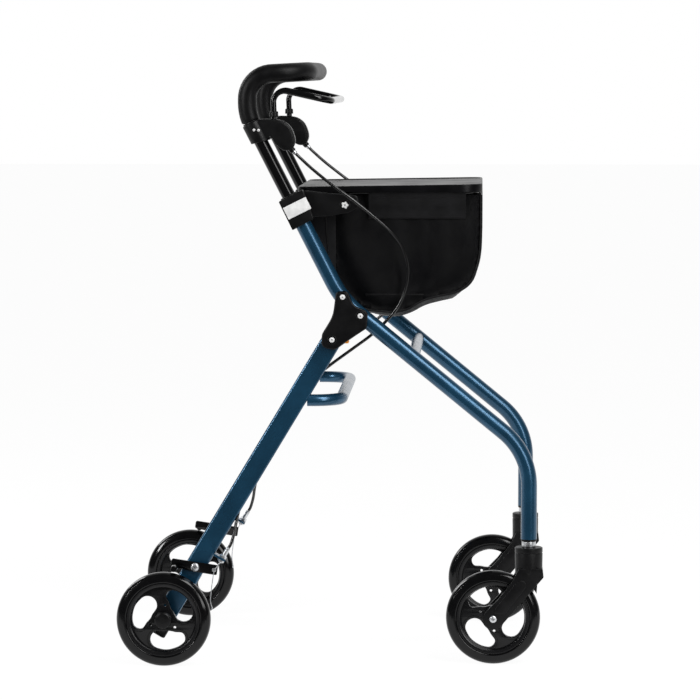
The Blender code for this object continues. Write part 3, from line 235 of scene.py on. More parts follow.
# %% [markdown]
# The tubes are metallic paint under a thin clear coat, so a lamp draws a broad blue streak on them with a
# white line in it. Its ripple is drawn 4 mm wide, since a finer one breaks that streak into dots at this
# size. The handle and the brake lever are black powder coat. Black parts differ mostly in gloss: the
# moulded brackets have a fine spark grain and look matt, the wheels are shinier, the tyres are smooth,
# and the foam with its open cells and the woven nylon bag are duller still. Their specular level is low,
# so that they stay black in a white room.

# %% Paints, plastics and cloth
# Aluminium tube, sprayed with metallic paint: its flakes give the broad streak, its clear coat the line.
PAINT = finish(
    "metallic_blue_paint", "blue_paint", ("#13425d", "#194d6b"), 0.05, (0.24, 0.30), 0.004, 1e-6,
    Metallic=0.6, Coat_Weight=0.4, Coat_Roughness=0.2,
)
# Steel and tube in powder coat, melted on in an oven: a smooth film, so reflections are nearly sharp.
GLOSS = finish(
    "black_powder_coat", "black_paint", ("#020203", "#050506"), 0.03, (0.12, 0.16), 0.0012, 1e-5,
    Specular_IOR_Level=0.2, Coat_Weight=0.3, Coat_Roughness=0.06,
)
# Glass-filled nylon from a mould with a spark grain: matt, with a soft sheen along the edges.
MOULDED = finish(
    "black_moulded_plastic", "black_plastic", ("#070708", "#0c0c0d"), 0.02, (0.34, 0.44), 0.0005, 3e-5,
    Specular_IOR_Level=0.22,
)
# ABS from a finely grained mould: a wide top with a dull, even reflection.
TRAY_PLASTIC = finish(
    "black_tray_plastic", "black_plastic", ("#040405", "#08080a"), 0.05, (0.30, 0.40), 0.0008, 2e-5,
    Specular_IOR_Level=0.12,
)
# Nylon from a smoother mould: a wheel is a little shinier than a bracket.
RIM_PLASTIC = finish(
    "black_wheel_plastic", "wheel_plastic", ("#08080a", "#0e0e0f"), 0.03, (0.20, 0.28), 0.001, 8e-6,
    Specular_IOR_Level=0.3,
)
# Rubber-like tyre plastic from a polished mould: smooth, so its edge draws a thin bright line.
RUBBER = finish(
    "black_tyre", "tyre", ("#030304", "#070708"), 0.02, (0.10, 0.14), 0.003, 4e-6, Specular_IOR_Level=0.3
)
# Rubber foam, cut to length: dull. Its cells are finer in truth and are drawn 0.9 mm wide, to show.
FOAM = finish(
    "black_foam", "foam", ("#030304", "#070708"), 0.015, (0.40, 0.50), 0.0009, 4e-5, cell_height,
    Specular_IOR_Level=0.2,
)
# Woven nylon: yarns every half millimetre give it a faint grid and hardly any shine.
NYLON = finish(
    "black_nylon", "nylon", ("#030305", "#080809"), 0.04, (0.40, 0.50), 0.0005, 1e-4, weave_height,
    Specular_IOR_Level=0.12,
)
# Nylon tape, woven tighter: its threads are drawn as a fine grain and its fuzz as a sheen.
BINDING = finish(
    "black_binding", "nylon", ("#0a0a0b", "#111113"), 0.02, (0.42, 0.55), 0.0004, 8e-5,
    Specular_IOR_Level=0.2, Sheen_Weight=0.08,
)
# PVC sleeve, drawn from a die: glossy, so a bright line follows each bend.
CABLE = finish(
    "black_cable_sleeve", "cable_housing", ("#070708", "#0c0c0d"), 0.02, (0.14, 0.20), 0.002, 1e-5,
    Specular_IOR_Level=0.7,
)
# ABS dyed right through, so that the button is easy to find.
ORANGE = finish(
    "orange_moulded_plastic", "orange_plastic", ("#f09420", "#f5a834"), 0.01, (0.40, 0.5), 0.0005, 2e-5
)
# Bright metal, nearly white: partly its own pale tone, partly painted reflection. The bare plates and most
# heads have it.
BARE_METAL_AND_PAINTED_REFLECTION = finish(
    "pale_metal_and_painted_reflection", "steel", ("#d6d6d6", "#e6e6e5"), 0.01, (0.42, 0.55), 0.0003, 1e-5, Metallic=0.1
)

# %% [markdown]
# ## Tubes
#
# A tube is drawn as a centre line whose corners are arcs, as a bending machine leaves them. Carrying a
# circle along that line gives the tube. A curve object with a round bevel could do the same, but a line of
# plain points can be used again, as the foam sleeve does with the handle's.


# %% Centre lines
def arc(centre, arm, axis, turn, step):
    count = max(2, math.ceil(abs(turn) / step))
    return [centre + Quaternion(axis, turn * i / count) @ arm for i in range(count + 1)]


def corner_arc(before, corner, after, radius, step):
    """A round bend in place of a corner."""
    a, b = (before - corner).normalized(), (after - corner).normalized()
    turn = math.pi - a.angle(b)
    if radius == 0 or turn < 1e-4:
        return [corner]
    start = corner + a * radius * math.tan(turn / 2)
    centre = corner + (a + b).normalized() * radius / math.cos(turn / 2)
    return arc(centre, start - centre, (-a).cross(b).normalized(), turn, step)


def bent(corners, radii, step=math.radians(5)):
    points = [corners[0]]
    for i, radius in enumerate(radii):
        points += corner_arc(corners[i], corners[i + 1], corners[i + 2], radius, step)
    return points + [corners[-1]]


def circle(radius, sides):
    turns = [2 * math.pi * (i + 0.5) / sides for i in range(sides)]
    return [(radius * math.cos(t), radius * math.sin(t)) for t in turns]


def length_of(line):
    return round(sum((b - a).length for a, b in zip(line, line[1:])), 3)


side_line = bent([FOOT + Z * 0.0038, LOWER_CORNER, KNEE, mast(TUBE_TOP)], [0.110, 0.150], math.radians(3))
print("the side tube is cut from", length_of(side_line), "m")


# %% Sweeping a section along a line
def sweep(path, section, side=Y, closed=False, swell=None):
    """A section carried along a path. Swell scales it at each point, which rounds a sleeve's ends."""
    count = len(section)
    points, faces = [], []
    last = len(path) - 1
    for i, point in enumerate(path):
        before = path[i - 1] if closed or i else point
        after = path[(i + 1) % len(path)] if closed or i < last else point
        ahead = (after - before).normalized()
        side = (side - ahead * side.dot(ahead)).normalized()
        up = side.cross(ahead)
        size = swell[i] if swell else 1
        points += [point + (side * x + up * z) * size for x, z in section]
    for i in range(last + 1 if closed else last):
        j = (i + 1) % len(path)
        for k in range(count):
            m = (k + 1) % count
            faces.append([i * count + k, i * count + m, j * count + m, j * count + k])
    if not closed:
        faces += [list(range(count)), list(range(last * count, len(points)))]
    return points, faces


TUBE_R, THIN_R = 0.0127, 0.0095
TUBE, THIN_TUBE = circle(TUBE_R, 40), circle(THIN_R, 32)
print("side tube:", len(sweep(side_line, TUBE)[0]), "points")

# %% [markdown]
# `new_object` makes an object of points and faces. `piece` finishes it: faces outwards, smooth where it is
# round and sharp where it is not, with its material.

# %% Pieces
import bmesh


def new_object(name, points, faces, shown=True):
    mesh = bpy.data.meshes.new(name)
    mesh.from_pydata([tuple(p) for p in points], [], faces)
    made = bpy.data.objects.new(name, mesh)
    if shown:
        bpy.context.scene.collection.objects.link(made)
    return made


def face_outwards(mesh, merge):
    """Turns all faces outwards, after points nearer than the merge distance become one."""
    bm = bmesh.new()
    bm.from_mesh(mesh)
    if merge:
        bmesh.ops.remove_doubles(bm, verts=bm.verts, dist=merge)
    bmesh.ops.recalc_face_normals(bm, faces=bm.faces)
    bm.to_mesh(mesh)
    bm.free()


def assign(made, body, stands_for):
    """Says which body a piece rides on, and hides the solids that it replaces."""
    if body:
        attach(made, body)
    if stands_for:
        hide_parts(*stands_for)


def piece(name, shape, material, body, stands_for=(), sharp=35):
    made = new_object(name, *shape)
    face_outwards(made.data, 1e-6)
    made.data.materials.append(material)
    made.data.shade_smooth()
    made.data.set_sharp_from_angle(angle=math.radians(sharp))
    assign(made, body, stands_for)
    return made


for side, sign in SIDES.items():
    moved = [across(p, sign * HALF_FRAME) for p in side_line]
    piece("side_tube_fine_" + side, sweep(moved, TUBE), PAINT, "frame", ["side_tube_" + side])
into_tube, cross_down = 0.001, 0.146
reach = HALF_FRAME - TUBE_R + into_tube
cross_at = KNEE + DOWN_SLOPE * cross_down
cross = sweep([across(cross_at, -reach), across(cross_at, reach)], THIN_TUBE, side=Z)
piece("front_cross_tube_fine", cross, PAINT, "frame", ["front_cross_tube"])
print("cross tube:", round(2 * reach, 3), "m between the side tubes")

# %% [markdown]
# ## Rear legs
#
# Each leg is a flat-sided tube with a black cap over its lower end and a plug in its upper one. A small
# tab welded to its outside holds the brake cable's adjuster, and a U-shaped tube joins the two legs. The
# tab is the first `plate`: a flat shape with rounded edges, which also makes brackets, arms and webs. A
# cube could be scaled, turned and bevelled for a leg, but a section that is swept up the leg's own line
# lies in its place from the start.


# %% Plates
def box_section(width, depth, corner, steps=5):
    """A rounded rectangle: width across, depth in the side view."""
    points = []
    for sx, sz, start in ((1, 1, 0), (-1, 1, 90), (-1, -1, 180), (1, -1, 270)):
        for i in range(steps + 1):
            angle = math.radians(start + 90 * i / steps)
            x = sx * (width / 2 - corner) + corner * math.cos(angle)
            points.append((x, sz * (depth / 2 - corner) + corner * math.sin(angle)))
    return points


def join(*shapes):
    points, faces = [], []
    for more_points, more_faces in shapes:
        start = len(points)
        points += more_points
        faces += [[start + i for i in face] for face in more_faces]
    return points, faces


def plate(outlines, one_side, other_side, bevel=0.001, steps=2):
    """A plate in the side view with rounded edges. The outlines after the first are holes."""
    curve = bpy.data.curves.new("plate", "CURVE")
    curve.dimensions = "2D"
    curve.fill_mode = "BOTH"
    curve.extrude = abs(one_side - other_side) / 2 - bevel
    curve.bevel_depth = bevel
    curve.bevel_resolution = steps
    curve.offset = -bevel
    for outline in outlines:
        line = curve.splines.new("POLY")
        line.points.add(len(outline) - 1)
        line.use_cyclic_u = True
        for corner, point in zip(line.points, outline):
            corner.co = (point.x, point.z, 0, 1)
    helper = bpy.data.objects.new("plate", curve)
    mesh = bpy.data.meshes.new_from_object(helper)
    points = [spot(v.co.x, v.co.y, (one_side + other_side) / 2 + v.co.z) for v in mesh.vertices]
    faces = [list(p.vertices) for p in mesh.polygons]
    bpy.data.objects.remove(helper)
    bpy.data.curves.remove(curve)
    bpy.data.meshes.remove(mesh)
    return points, faces


LEG_DEPTH, LEG_W, ARM_Y = 0.032, 0.020, 0.0165
tab_corners = ((0.1255, 0.0155), (0.1285, 0.0155), (0.1285, 0.0360), (0.1255, 0.0360))
TAB = [leg(up, front) for up, front in tab_corners]
print("a tab of", len(plate([TAB], 0, 0.0215, 0.0004)[0]), "points")

# %% Legs, caps and the tube between them
section = box_section(LEG_W, LEG_DEPTH, 0.004)
LEG_END = LEG_LENGTH + 0.0095
cap_steps = ((-0.0336, 0.88), (-0.0330, 0.98), (-0.0315, 1.05), (-0.0128, 1.05), (-0.0120, 1.01))
plug_steps = ((LEG_END - 0.0002, 0.94), (LEG_END + 0.0012, 0.94), (LEG_END + 0.0018, 0.86))
for side, sign in SIDES.items():
    y = sign * HALF_FRAME
    bar = sweep([across(leg(-0.0320), y), across(leg(LEG_END), y)], section)
    tab = plate([TAB], sign * (HALF_FRAME + 0.002), sign * (HALF_FRAME + ARM_Y + 0.007), 0.0004)
    piece("leg_fine_" + side, join(bar, tab), PAINT, "rear_legs", ["rear_leg_" + side])
    ends = []
    for steps in (cap_steps, plug_steps):
        path = [across(leg(up), y) for up, _ in steps]
        ends.append(sweep(path, section, swell=[size for _, size in steps]))
    piece("leg_ends_" + side, join(*ends), MOULDED, "rear_legs")
bridge_at, face, reach = leg(LEG_LENGTH - 0.1138), LEG_DEPTH / 2 / LEG_FRONT.x, 0.072
places = ((face, -HALF_FRAME), (reach, -HALF_FRAME), (reach, HALF_FRAME), (face, HALF_FRAME))
corners = [bridge_at + Vector((x, y, 0)) for x, y in places]
bridge = sweep(bent(corners, [0.045, 0.045], math.radians(6)), THIN_TUBE)
piece("leg_bridge_fine", bridge, PAINT, "rear_legs", ["leg_bridge_tube"])
print("legs:", round(LEG_LENGTH, 4), "m from the axle to the pivot")

# %% [markdown]
# ## Wheels
#
# A wheel is a moulded rim and a tyre. The rim's web has three egg-shaped holes and three small round
# ones, and a thin raised line runs round each large hole. `turned` spins a profile like a lathe, and `rod`
# is the profile of a plain bar. `smooth_line` lays a smooth curve through a few points, and `spread` moves
# an outline outwards. A Boolean could cut the holes from a disc, but a flat curve with holes in it fills
# cleanly and rounds their edges at the same time.


# %% Smooth lines and turned shapes
def even_steps(line, spacing):
    """Even steps along a line of points."""
    lengths = [0.0]
    for a, b in zip(line, line[1:]):
        lengths.append(lengths[-1] + (b - a).length)
    count = max(1, round(lengths[-1] / spacing))
    even, j = [], 0
    for i in range(count):
        target = lengths[-1] * i / count
        while lengths[j + 1] < target:
            j += 1
        even.append(line[j].lerp(line[j + 1], (target - lengths[j]) / (lengths[j + 1] - lengths[j])))
    return even + [line[-1].copy()]


def smooth_line(points, spacing, closed=False):
    """Even steps along a smooth curve through the points."""
    if closed:
        ends = [points[-1], *points, points[0], points[1]]
    else:
        ends = [2 * points[0] - points[1], *points, 2 * points[-1] - points[-2]]
    fine = []
    for a, b, c, d in zip(ends, ends[1:], ends[2:], ends[3:]):
        for t in [i / 20 for i in range(20)]:
            cubic = (-a + 3 * b - 3 * c + d) * t**3 + (2 * a - 5 * b + 4 * c - d) * t**2 + (c - a) * t + 2 * b
            fine.append(cubic / 2)
    if closed:
        return even_steps(fine + [fine[0]], spacing)[:-1]
    return even_steps(fine + [points[-1]], spacing)


def soft(profile, radius, closed=False):
    """The same profile with its corners rounded, as far as its edges allow."""
    flat = [Vector((x, z, 0)) for x, z in profile]
    points = []
    for i, corner in enumerate(flat):
        before, after = flat[i - 1], flat[(i + 1) % len(flat)]
        if not closed and i in (0, len(flat) - 1):
            points.append(corner)
            continue
        a, b = before - corner, after - corner
        reach = 0.48 * min(a.length, b.length)
        fits = reach / max(math.tan((math.pi - a.angle(b)) / 2), 1e-6)
        points += corner_arc(before, corner, after, min(radius, fits), math.radians(22.5))
    return [(p.x, p.y) for p in points]


def turned(place, axis, profile, sides=48, ring=False):
    """A turned shape from (radius, height) points. A ring's profile closes on itself, off the axis."""
    turn = axis.to_track_quat("Z", "Y")
    points, rings, faces = [], [], []
    for radius, height in profile:
        round_it = [(0, 0)] if radius <= 1e-7 else circle(radius, sides)
        rings.append(list(range(len(points), len(points) + len(round_it))))
        points += [place + turn @ Vector((x, z, height)) for x, z in round_it]
    pairs = list(zip(rings, rings[1:]))
    if ring:
        pairs.append((rings[-1], rings[0]))
    for one, two in pairs:
        for k in range(sides):
            m = (k + 1) % sides
            face = [one[k % len(one)], one[m % len(one)], two[m % len(two)], two[k % len(two)]]
            faces.append(list(dict.fromkeys(face)))
    return points, [face for face in faces if len(face) > 2]


def rod(radius, low, high, edge=0.0):
    """The profile of a plain round bar between two heights."""
    return soft([(0, low), (radius, low), (radius, high), (0, high)], edge)


def both_faces(half):
    """A whole closed profile from the half on one side of the wheel."""
    return half + [(radius, -height) for radius, height in reversed(half)]


tyre_half = [(0.0586, 0.0106), (0.0591, 0.0122), (0.0604, 0.0128), (0.0630, 0.0128), (0.0664, 0.0121)]
tyre_half += [(0.0700, 0.0106), (0.0728, 0.0082), (0.0744, 0.0050), (0.0750, 0.0015)]
TYRE = soft(both_faces(tyre_half), 0.0012, True)
WEB_HALF = 0.004
print("the tyre's profile has", len(TYRE), "points")


# %% The web's holes
def web_hole(centre, turn):
    """An egg-shaped hole, wide at one end, whose inner side bends round the hub."""
    wide, narrow = turn - math.radians(20), turn + math.radians(28.5)
    points = [polar(centre, 0.0497, turn + t) for t in (-0.05, 0.25)]
    middle = polar(centre, 0.0385, narrow)
    points += [polar(middle, 0.0110, narrow - 0.1 + math.radians(38 * i)) for i in range(4)]
    inner_side = ((0.0280, 34), (0.0238, 26.8), (0.0203, 14.5), (0.0195, 0))
    points += [polar(centre, radius, turn + math.radians(degrees)) for radius, degrees in inner_side]
    middle = polar(centre, 0.0335, wide)
    points += [polar(middle, 0.0148, wide + math.pi - 0.15 + math.radians(38 * i)) for i in range(6)]
    return smooth_line(points, 0.0018, closed=True)


def spread(outline, distance):
    """A closed outline moved outwards."""
    moved = []
    for i, point in enumerate(outline):
        along = outline[(i + 1) % len(outline)] - outline[i - 1]
        moved.append(point + spot(along.z, -along.x).normalized() * distance)
    return moved


def raised_line(centre, outline, y):
    """A thin line of plastic on the web's face, kept between the hub and the ring."""
    kept = []
    for point in spread(outline, 0.0042):
        arm = point - centre
        kept.append(centre + arm * min(0.0508, max(0.0150, arm.length)) / arm.length)
    kept = even_steps(kept + [kept[0]], 0.0025)[:-1]
    return sweep([across(p, y) for p in kept], circle(0.0006, 6), closed=True)


print("one hole's edge has", len(web_hole(spot(0, 0), 0)), "points")


# %% Rims and tyres
def ring_of_points(centre, radius, count):
    return [polar(centre, radius, 2 * math.pi * i / count) for i in range(count)]


def wheel(place_name, centre, first_turn, body):
    y, flat = centre.y, across(centre, 0)
    large = [web_hole(flat, first_turn + i * math.tau / 3) for i in range(3)]
    turns = [first_turn + math.radians(44.9 + 120 * i) for i in range(3)]
    small = [ring_of_points(polar(flat, 0.0222, turn), 0.0022, 14) for turn in turns]
    web = plate([ring_of_points(flat, 0.0525, 96), *large, *small], y - WEB_HALF, y + WEB_HALF, 0.0006)
    lines = [raised_line(flat, hole, y + out * WEB_HALF) for hole in large for out in (1, -1)]
    hub = [(0.0046, 0.015), (0.0085, 0.015), (0.0088, 0.0135), (0.0125, 0.0130), (0.0140, 0.0040)]
    lip = [(0.0590, 0.0104), (0.0580, 0.0113), (0.0545, 0.0108), (0.0520, 0.0098), (0.0504, 0.0040)]
    shapes = [turned(centre, Y, soft(both_faces(half), 0.0012, True), 96, True) for half in (hub, lip)]
    piece("rim_fine_" + place_name, join(web, *lines, *shapes), RIM_PLASTIC, body, ["rim_" + place_name])
    piece("tyre_fine_" + place_name, turned(centre, Y, TYRE, 112, True), RUBBER, body, ["tyre_" + place_name])


REAR_TURN, FRONT_TURN = {"right": 38.6, "left": 104}, {"right": 109.6, "left": 100}
for side, sign in SIDES.items():
    turn = math.radians(REAR_TURN[side])
    wheel("rear_" + side, across(REAR_AXLE, sign * HALF_TRACK), turn, "rear_wheel_" + side)
    turn = math.radians(FRONT_TURN[side])
    wheel("front_" + side, across(FRONT_AXLE, sign * HALF_FRAME), turn, "front_wheel_" + side)
print("wheels:", 2 * len(SIDES), "each", WHEEL_R * 2, "m across")

# %% [markdown]
# A rear wheel turns on a steel pin that goes through the leg. A black cap hides the pin's outer end. Both
# are turned from one profile each, as a lathe would make them, so a shoulder is just two more points.

# %% Rear axles
leg_in, leg_out = HALF_FRAME - LEG_W / 2, HALF_FRAME + LEG_W / 2
head_in, shoulder_out, pin_end = leg_in - 0.0053, 0.2345, 0.2655
pin = [(0, head_in), (0.0065, head_in), (0.0065, leg_in), (0.004, leg_in), (0.004, leg_out)]
pin += [(0.0078, leg_out), (0.0078, shoulder_out), (0.004, shoulder_out), (0.004, pin_end), (0, pin_end)]
cap = [(0, 0.2654), (0.0132, 0.2654), (0.0132, 0.2680), (0.0108, 0.2698), (0.0050, 0.2703), (0, 0.2703)]
for side, sign in SIDES.items():
    steel = turned(REAR_AXLE, Y * sign, soft(pin, 0.0006))
    piece("axle_steel_" + side, steel, STEEL, "rear_legs", ["rear_axle_" + side])
    piece("axle_cap_" + side, turned(REAR_AXLE, Y * sign, soft(cap, 0.001)), MOULDED, "rear_legs")
print("axle pins:", round(pin_end - head_in, 4), "m long")

# %% [markdown]
# ## Casters
#
# A caster's fork is one moulding: a round housing over the stem, a crown that arches over the tyre, and a
# blade down each side with a raised rib along it. The housing has a seam near its top. Each part of it is
# a plate or a turned shape that reaches a little into the next one, and they become one mesh without a
# Boolean, because what overlaps lies inside and never shows.


# %% Fork blades
def rounded(corners, step=math.radians(10)):
    """A closed outline in the side view from (point, radius) corners."""
    points = []
    for i, (corner, radius) in enumerate(corners):
        points += corner_arc(corners[i - 1][0], corner, corners[(i + 1) % len(corners)][0], radius, step)
    return points


blade_corners = [
    (spot(STEM_X + HOUSING_R, HOUSING_BOTTOM + 0.0095), 0.001),
    (spot(STEM_X + 0.0056 - HOUSING_R, HOUSING_BOTTOM + 0.0095), 0.003),
    (FRONT_AXLE + spot(0.0325, 0.0640), 0.030),
    (FRONT_AXLE + spot(0.0090, 0.0325), 0.060),
    (polar(FRONT_AXLE, 0.0241, math.radians(183.5)), 0.0165),
    (polar(FRONT_AXLE, 0.0241, math.radians(274.5)), 0.0165),
    (spot(STEM_X + HOUSING_R + 0.0014, WHEEL_R + 0.0665), 0.003),
]
BLADE = rounded(blade_corners)
rib_corners = [(0.5, 7.3, 3), (2.9, 15.5, 8), (33.9, 55.6, 6)]
rib_corners += [(42.9, 66.0, 9), (55.1, 54.6, 7), (18.4, 7.3, 3)]
RIB = rounded([(FRONT_AXLE + spot(x, z) / 1000, radius / 1000) for x, z, radius in rib_corners])
print("blade outline:", len(BLADE), "points, rib:", len(RIB))

# %% Forks
TYRE_CLEAR, CROWN_HALF, BOLT_HALF = 0.0795, 0.0156, 0.0217
BLADE_IN, BLADE_OUT, RIB_IN, RIB_OUT = 0.0154, 0.0214, 0.0190, 0.0226
arch = [polar(FRONT_AXLE, TYRE_CLEAR, math.radians(60.5 - 30.5 * i / 11)) for i in range(12)]
crown_top = [spot(STEM_X + x, z) for x, z in ((0.0135, 0.1290), (0.0226, 0.1420), (0.0210, 0.1540))]
CROWN = [spot(STEM_X - 0.0160, 0.1540), *arch, *crown_top]
top = HOUSING_TOP
housing = [(0, HOUSING_BOTTOM - 0.001), (0.0212, HOUSING_BOTTOM - 0.001), (0.0217, HOUSING_BOTTOM + 0.002)]
housing += [(0.0220, top - 0.0096), (0.0211, top - 0.0092), (0.0211, top - 0.0084), (0.0220, top - 0.0080)]
housing += [(0.0220, top - 0.0010), (0.0206, top), (0, top)]
shank = rod(0.004, -BOLT_HALF, BOLT_HALF)
for side, sign in SIDES.items():
    y = sign * HALF_FRAME
    parts = [plate([CROWN], y - CROWN_HALF, y + CROWN_HALF, 0.0006)]
    for out in (-1, 1):
        parts.append(plate([BLADE], y + out * BLADE_IN, y + out * BLADE_OUT, 0.0012))
        parts.append(plate([RIB], y + out * RIB_IN, y + out * RIB_OUT, 0.0010))
    parts.append(turned(spot(STEM_X, 0, y), Z, soft(housing, 0.0008), 64))
    piece("fork_fine_" + side, join(*parts), MOULDED, "caster_" + side, ["caster_fork_" + side])
    bolt = turned(across(FRONT_AXLE, y), Y, shank, 24)
    piece("fork_bolt_fine_" + side, bolt, STEEL, "caster_" + side, ["fork_axle_bolt_" + side])
print("the fork clears the tyre by", round(TYRE_CLEAR - WHEEL_R, 4), "m")

# %% [markdown]
# The stem's bright collar shows between the fork and the frame. A thin black ring under the tube's end is
# painted shade. Both are round, so they are turned too.

# %% Stems
collar = rod(0.0112, top + 0.0003, FOOT.z + 0.0006, 0.0007)
# Painted shade: a thin black ring that stands for the shade at the foot of the side tube.
end_shade_ring = [(0, 0.0005), (0.0120, 0.0005), (0.0125, 0.0012), (0.0125, 0.0040), (0, 0.0040)]
end_shade_ring = soft([(radius, FOOT.z + up) for radius, up in end_shade_ring], 0.0004)
for side, sign in SIDES.items():
    axis = spot(STEM_X, 0, sign * HALF_FRAME)
    piece("stem_fine_" + side, turned(axis, Z, collar), STEEL, "frame", ["caster_stem_" + side])
    piece("tube_ring_" + side, turned(axis, Z, end_shade_ring), MOULDED, "frame")
print("bright collar:", round(FOOT.z + 0.0003 - top, 4), "m high")

# %% [markdown]
# ## Handle
#
# One tube makes both posts and the bar between them. A foam sleeve covers it above the clamps; its ends
# round over, as soft foam does where it is cut, and a moulded ring closes the gap down to each clamp. A
# Solidify modifier could thicken the tube into a sleeve, but it would leave the ends square, while
# `swell` narrows the swept circle there.

# %% Handle tube and foam
CLAMP_AT, CLAMP_H, POST_R = 0.2855, 0.028, 0.0109
upright = KNEE.x - 0.1495
over_mast = spot(upright, KNEE.z + 0.1495 * math.tan(MAST_ANGLE))
over_post = spot(upright, KNEE.z + 0.3548)
bar_end = over_post + spot(0.094, 0.094 * math.tan(math.radians(3.2)))


def mirrored_bend(corners, radii, step):
    """A line that is bent alike on both sides, from the corners on one side."""
    points = [across(p, -HALF_FRAME) for p in corners] + [across(p, HALF_FRAME) for p in reversed(corners)]
    return bent(points, radii + radii[::-1], math.radians(step))


handle_line = mirrored_bend([mast(0.103), over_mast, over_post, bar_end], [0.078, 0.040, 0.050], 4)
piece("handle_tube_fine", sweep(handle_line, circle(POST_R, 40)), GLOSS, "handle", ["handle_tube"])
GRIP_START, grip_steps = 0.2127, 36
grip_line = even_steps(handle_line, GRIP_START / grip_steps)[grip_steps:-grip_steps]
for _ in range(2):
    first, second = grip_line[0], grip_line[1]
    grip_line[0:1] = [first, first.lerp(second, 0.12), first.lerp(second, 0.4)]
    grip_line.reverse()
ends = [0.80, 0.93, 0.99]
swell = ends + [1.0] * (len(grip_line) - 6) + ends[::-1]
sleeve = sweep(grip_line, circle(0.01475, 48), swell=swell)
foam = piece("foam_grip_fine", sleeve, FOAM, "handle", ["foam_grip"], 60)
neck = [(0.0110, 0.0), (0.0150, 0.0), (0.0136, 0.0012), (0.0132, 0.0030), (0.0110, 0.0030)]
neck = soft(neck, 0.0004, True)
for side, sign in SIDES.items():
    at = across(mast(CLAMP_AT + CLAMP_H - 0.0004), sign * HALF_FRAME)
    piece("grip_ring_" + side, turned(at, MAST_UP, neck, 48, True), MOULDED, "handle")
print("foam on", length_of(grip_line), "m of tube")

# %% [markdown]
# ## Brake lever
#
# The lever is a U of round rod that runs along under the bar, so either hand can squeeze it. A sleeve
# makes the part that the fingers pull a little thicker. Each end drops into a housing through a short
# rubber boot and turns on a pin. The sleeve fits the rod tightly, so it is no piece of its own: the same
# circle swells along it.

# %% Lever
PIVOT = mast(CLAMP_AT + 0.006, 0.0296)
corners = [PIVOT + spot(x, z) for x, z in ((0, 0.002), (-0.0024, 0.0615), (0.089, 0.0410))]
lever_line = mirrored_bend(corners, [0.018, 0.030], 6)
eye = rod(0.007, -0.0045, 0.0045, 0.0008)
boot = soft([(0, 0), (0.0070, 0), (0.0066, 0.0078), (0.0052, 0.0086), (0, 0.0086)], 0.0008)
boot_at = PIVOT + spot(-0.0008, 0.0160)
eyes = [turned(across(PIVOT, sign * HALF_FRAME), Y, eye, 32) for sign in SIDES.values()]
boots = [turned(across(boot_at, sign * HALF_FRAME), Z, boot, 32) for sign in SIDES.values()]
swell = [1 + 0.2 * min(1, max(0, (p.x - PIVOT.x - 0.006) / 0.014)) for p in lever_line]
bow = sweep(lever_line, circle(0.0045, 24), swell=swell)
piece("brake_lever_fine", join(bow, *eyes), GLOSS, "lever", ["brake_lever"])
piece("lever_boots", join(*boots), MOULDED, "lever")
print("lever rod:", length_of(lever_line), "m")

# %% [markdown]
# ## Brake housings
#
# A housing is moulded in one with its clamp. It bulges in front, where the lever pulls the cable, and
# tapers to the stub that the cable leaves by. The clamp's lower edge slopes, and a plated ferrule ends
# the stub. The bulge has no plain radii, so its outline is a smooth line through listed points, and a
# smaller plate on it makes its faces stand out.

# %% Housings and ferrules
nose = [(0.0275, 0.0020), (0.0266, 0.0130), (0.0251, 0.0197), (0.0165, 0.0355), (0.0079, 0.0463)]
nose += [(-0.0048, 0.0524), (-0.0195, 0.0519), (-0.0303, 0.0481), (-0.0373, 0.0395), (-0.0366, 0.0310)]
nose += [(-0.0305, 0.0240), (-0.0179, 0.0191), (-0.0049, 0.0181), (-0.0040, 0.0120), (-0.0030, 0.0020)]
NOSE = smooth_line([mast(CLAMP_AT + up, front) for up, front in nose], 0.002, closed=True)
NOSE_FACE = [mast(CLAMP_AT - 0.0060, 0.0330).lerp(point, 0.85) for point in NOSE]
CABLE_START = mast(0.2382, 0.0405)
CABLE_WAY = spot(math.cos(math.radians(44)), -math.sin(math.radians(44)))
CLAMP_R, NOSE_HALF, NOSE_FACE_HALF = 0.0155, 0.0112, 0.0119


def sloped_clamp(y):
    """A round clamp whose lower edge drops 7 mm towards the front."""
    clamp = rod(CLAMP_R, 0, CLAMP_H, 0.0009)
    points, faces = turned(across(mast(CLAMP_AT), y), MAST_UP, clamp, 56)
    sloped = []
    for point in points:
        arm = across(point, 0) - mast(CLAMP_AT)
        low = arm.dot(MAST_UP) < 0.01
        drop = 0.002 + 0.007 * (arm.dot(MAST_FRONT) + CLAMP_R) / (2 * CLAMP_R)
        sloped.append(point - MAST_UP * drop if low else point)
    return sloped, faces


stub = rod(0.0050, 0, 0.0125, 0.0008)
ferrule = soft([(0, 0), (0.0034, 0), (0.0036, 0.0045), (0.0028, 0.0056), (0, 0.0057)], 0.0005)
for side, sign in SIDES.items():
    y = sign * HALF_FRAME
    parts = [plate([NOSE], y - NOSE_HALF, y + NOSE_HALF, 0.0035, 4), sloped_clamp(y)]
    parts.append(plate([NOSE_FACE], y - NOSE_FACE_HALF, y + NOSE_FACE_HALF, 0.0012, 3))
    parts.append(turned(across(CABLE_START - CABLE_WAY * 0.018, y), CABLE_WAY, stub, 32))
    piece("housing_fine_" + side, join(*parts), MOULDED, "handle", ["brake_housing_" + side])
    at = across(CABLE_START - CABLE_WAY * 0.0058, y)
    piece("ferrule_" + side, turned(at, CABLE_WAY, ferrule, 24), STEEL, "handle")
print("housing outline:", len(NOSE), "points")

# %% [markdown]
# ## Collars
#
# A collar is moulded round the top of each side tube. Its block holds the post with a hand screw, and its
# arm reaches forward to carry the tray and the bag. A bare plate is set into its outer face. The block
# tapers in the side view, so it is a thick plate with a rounded edge and not a bevelled cube.

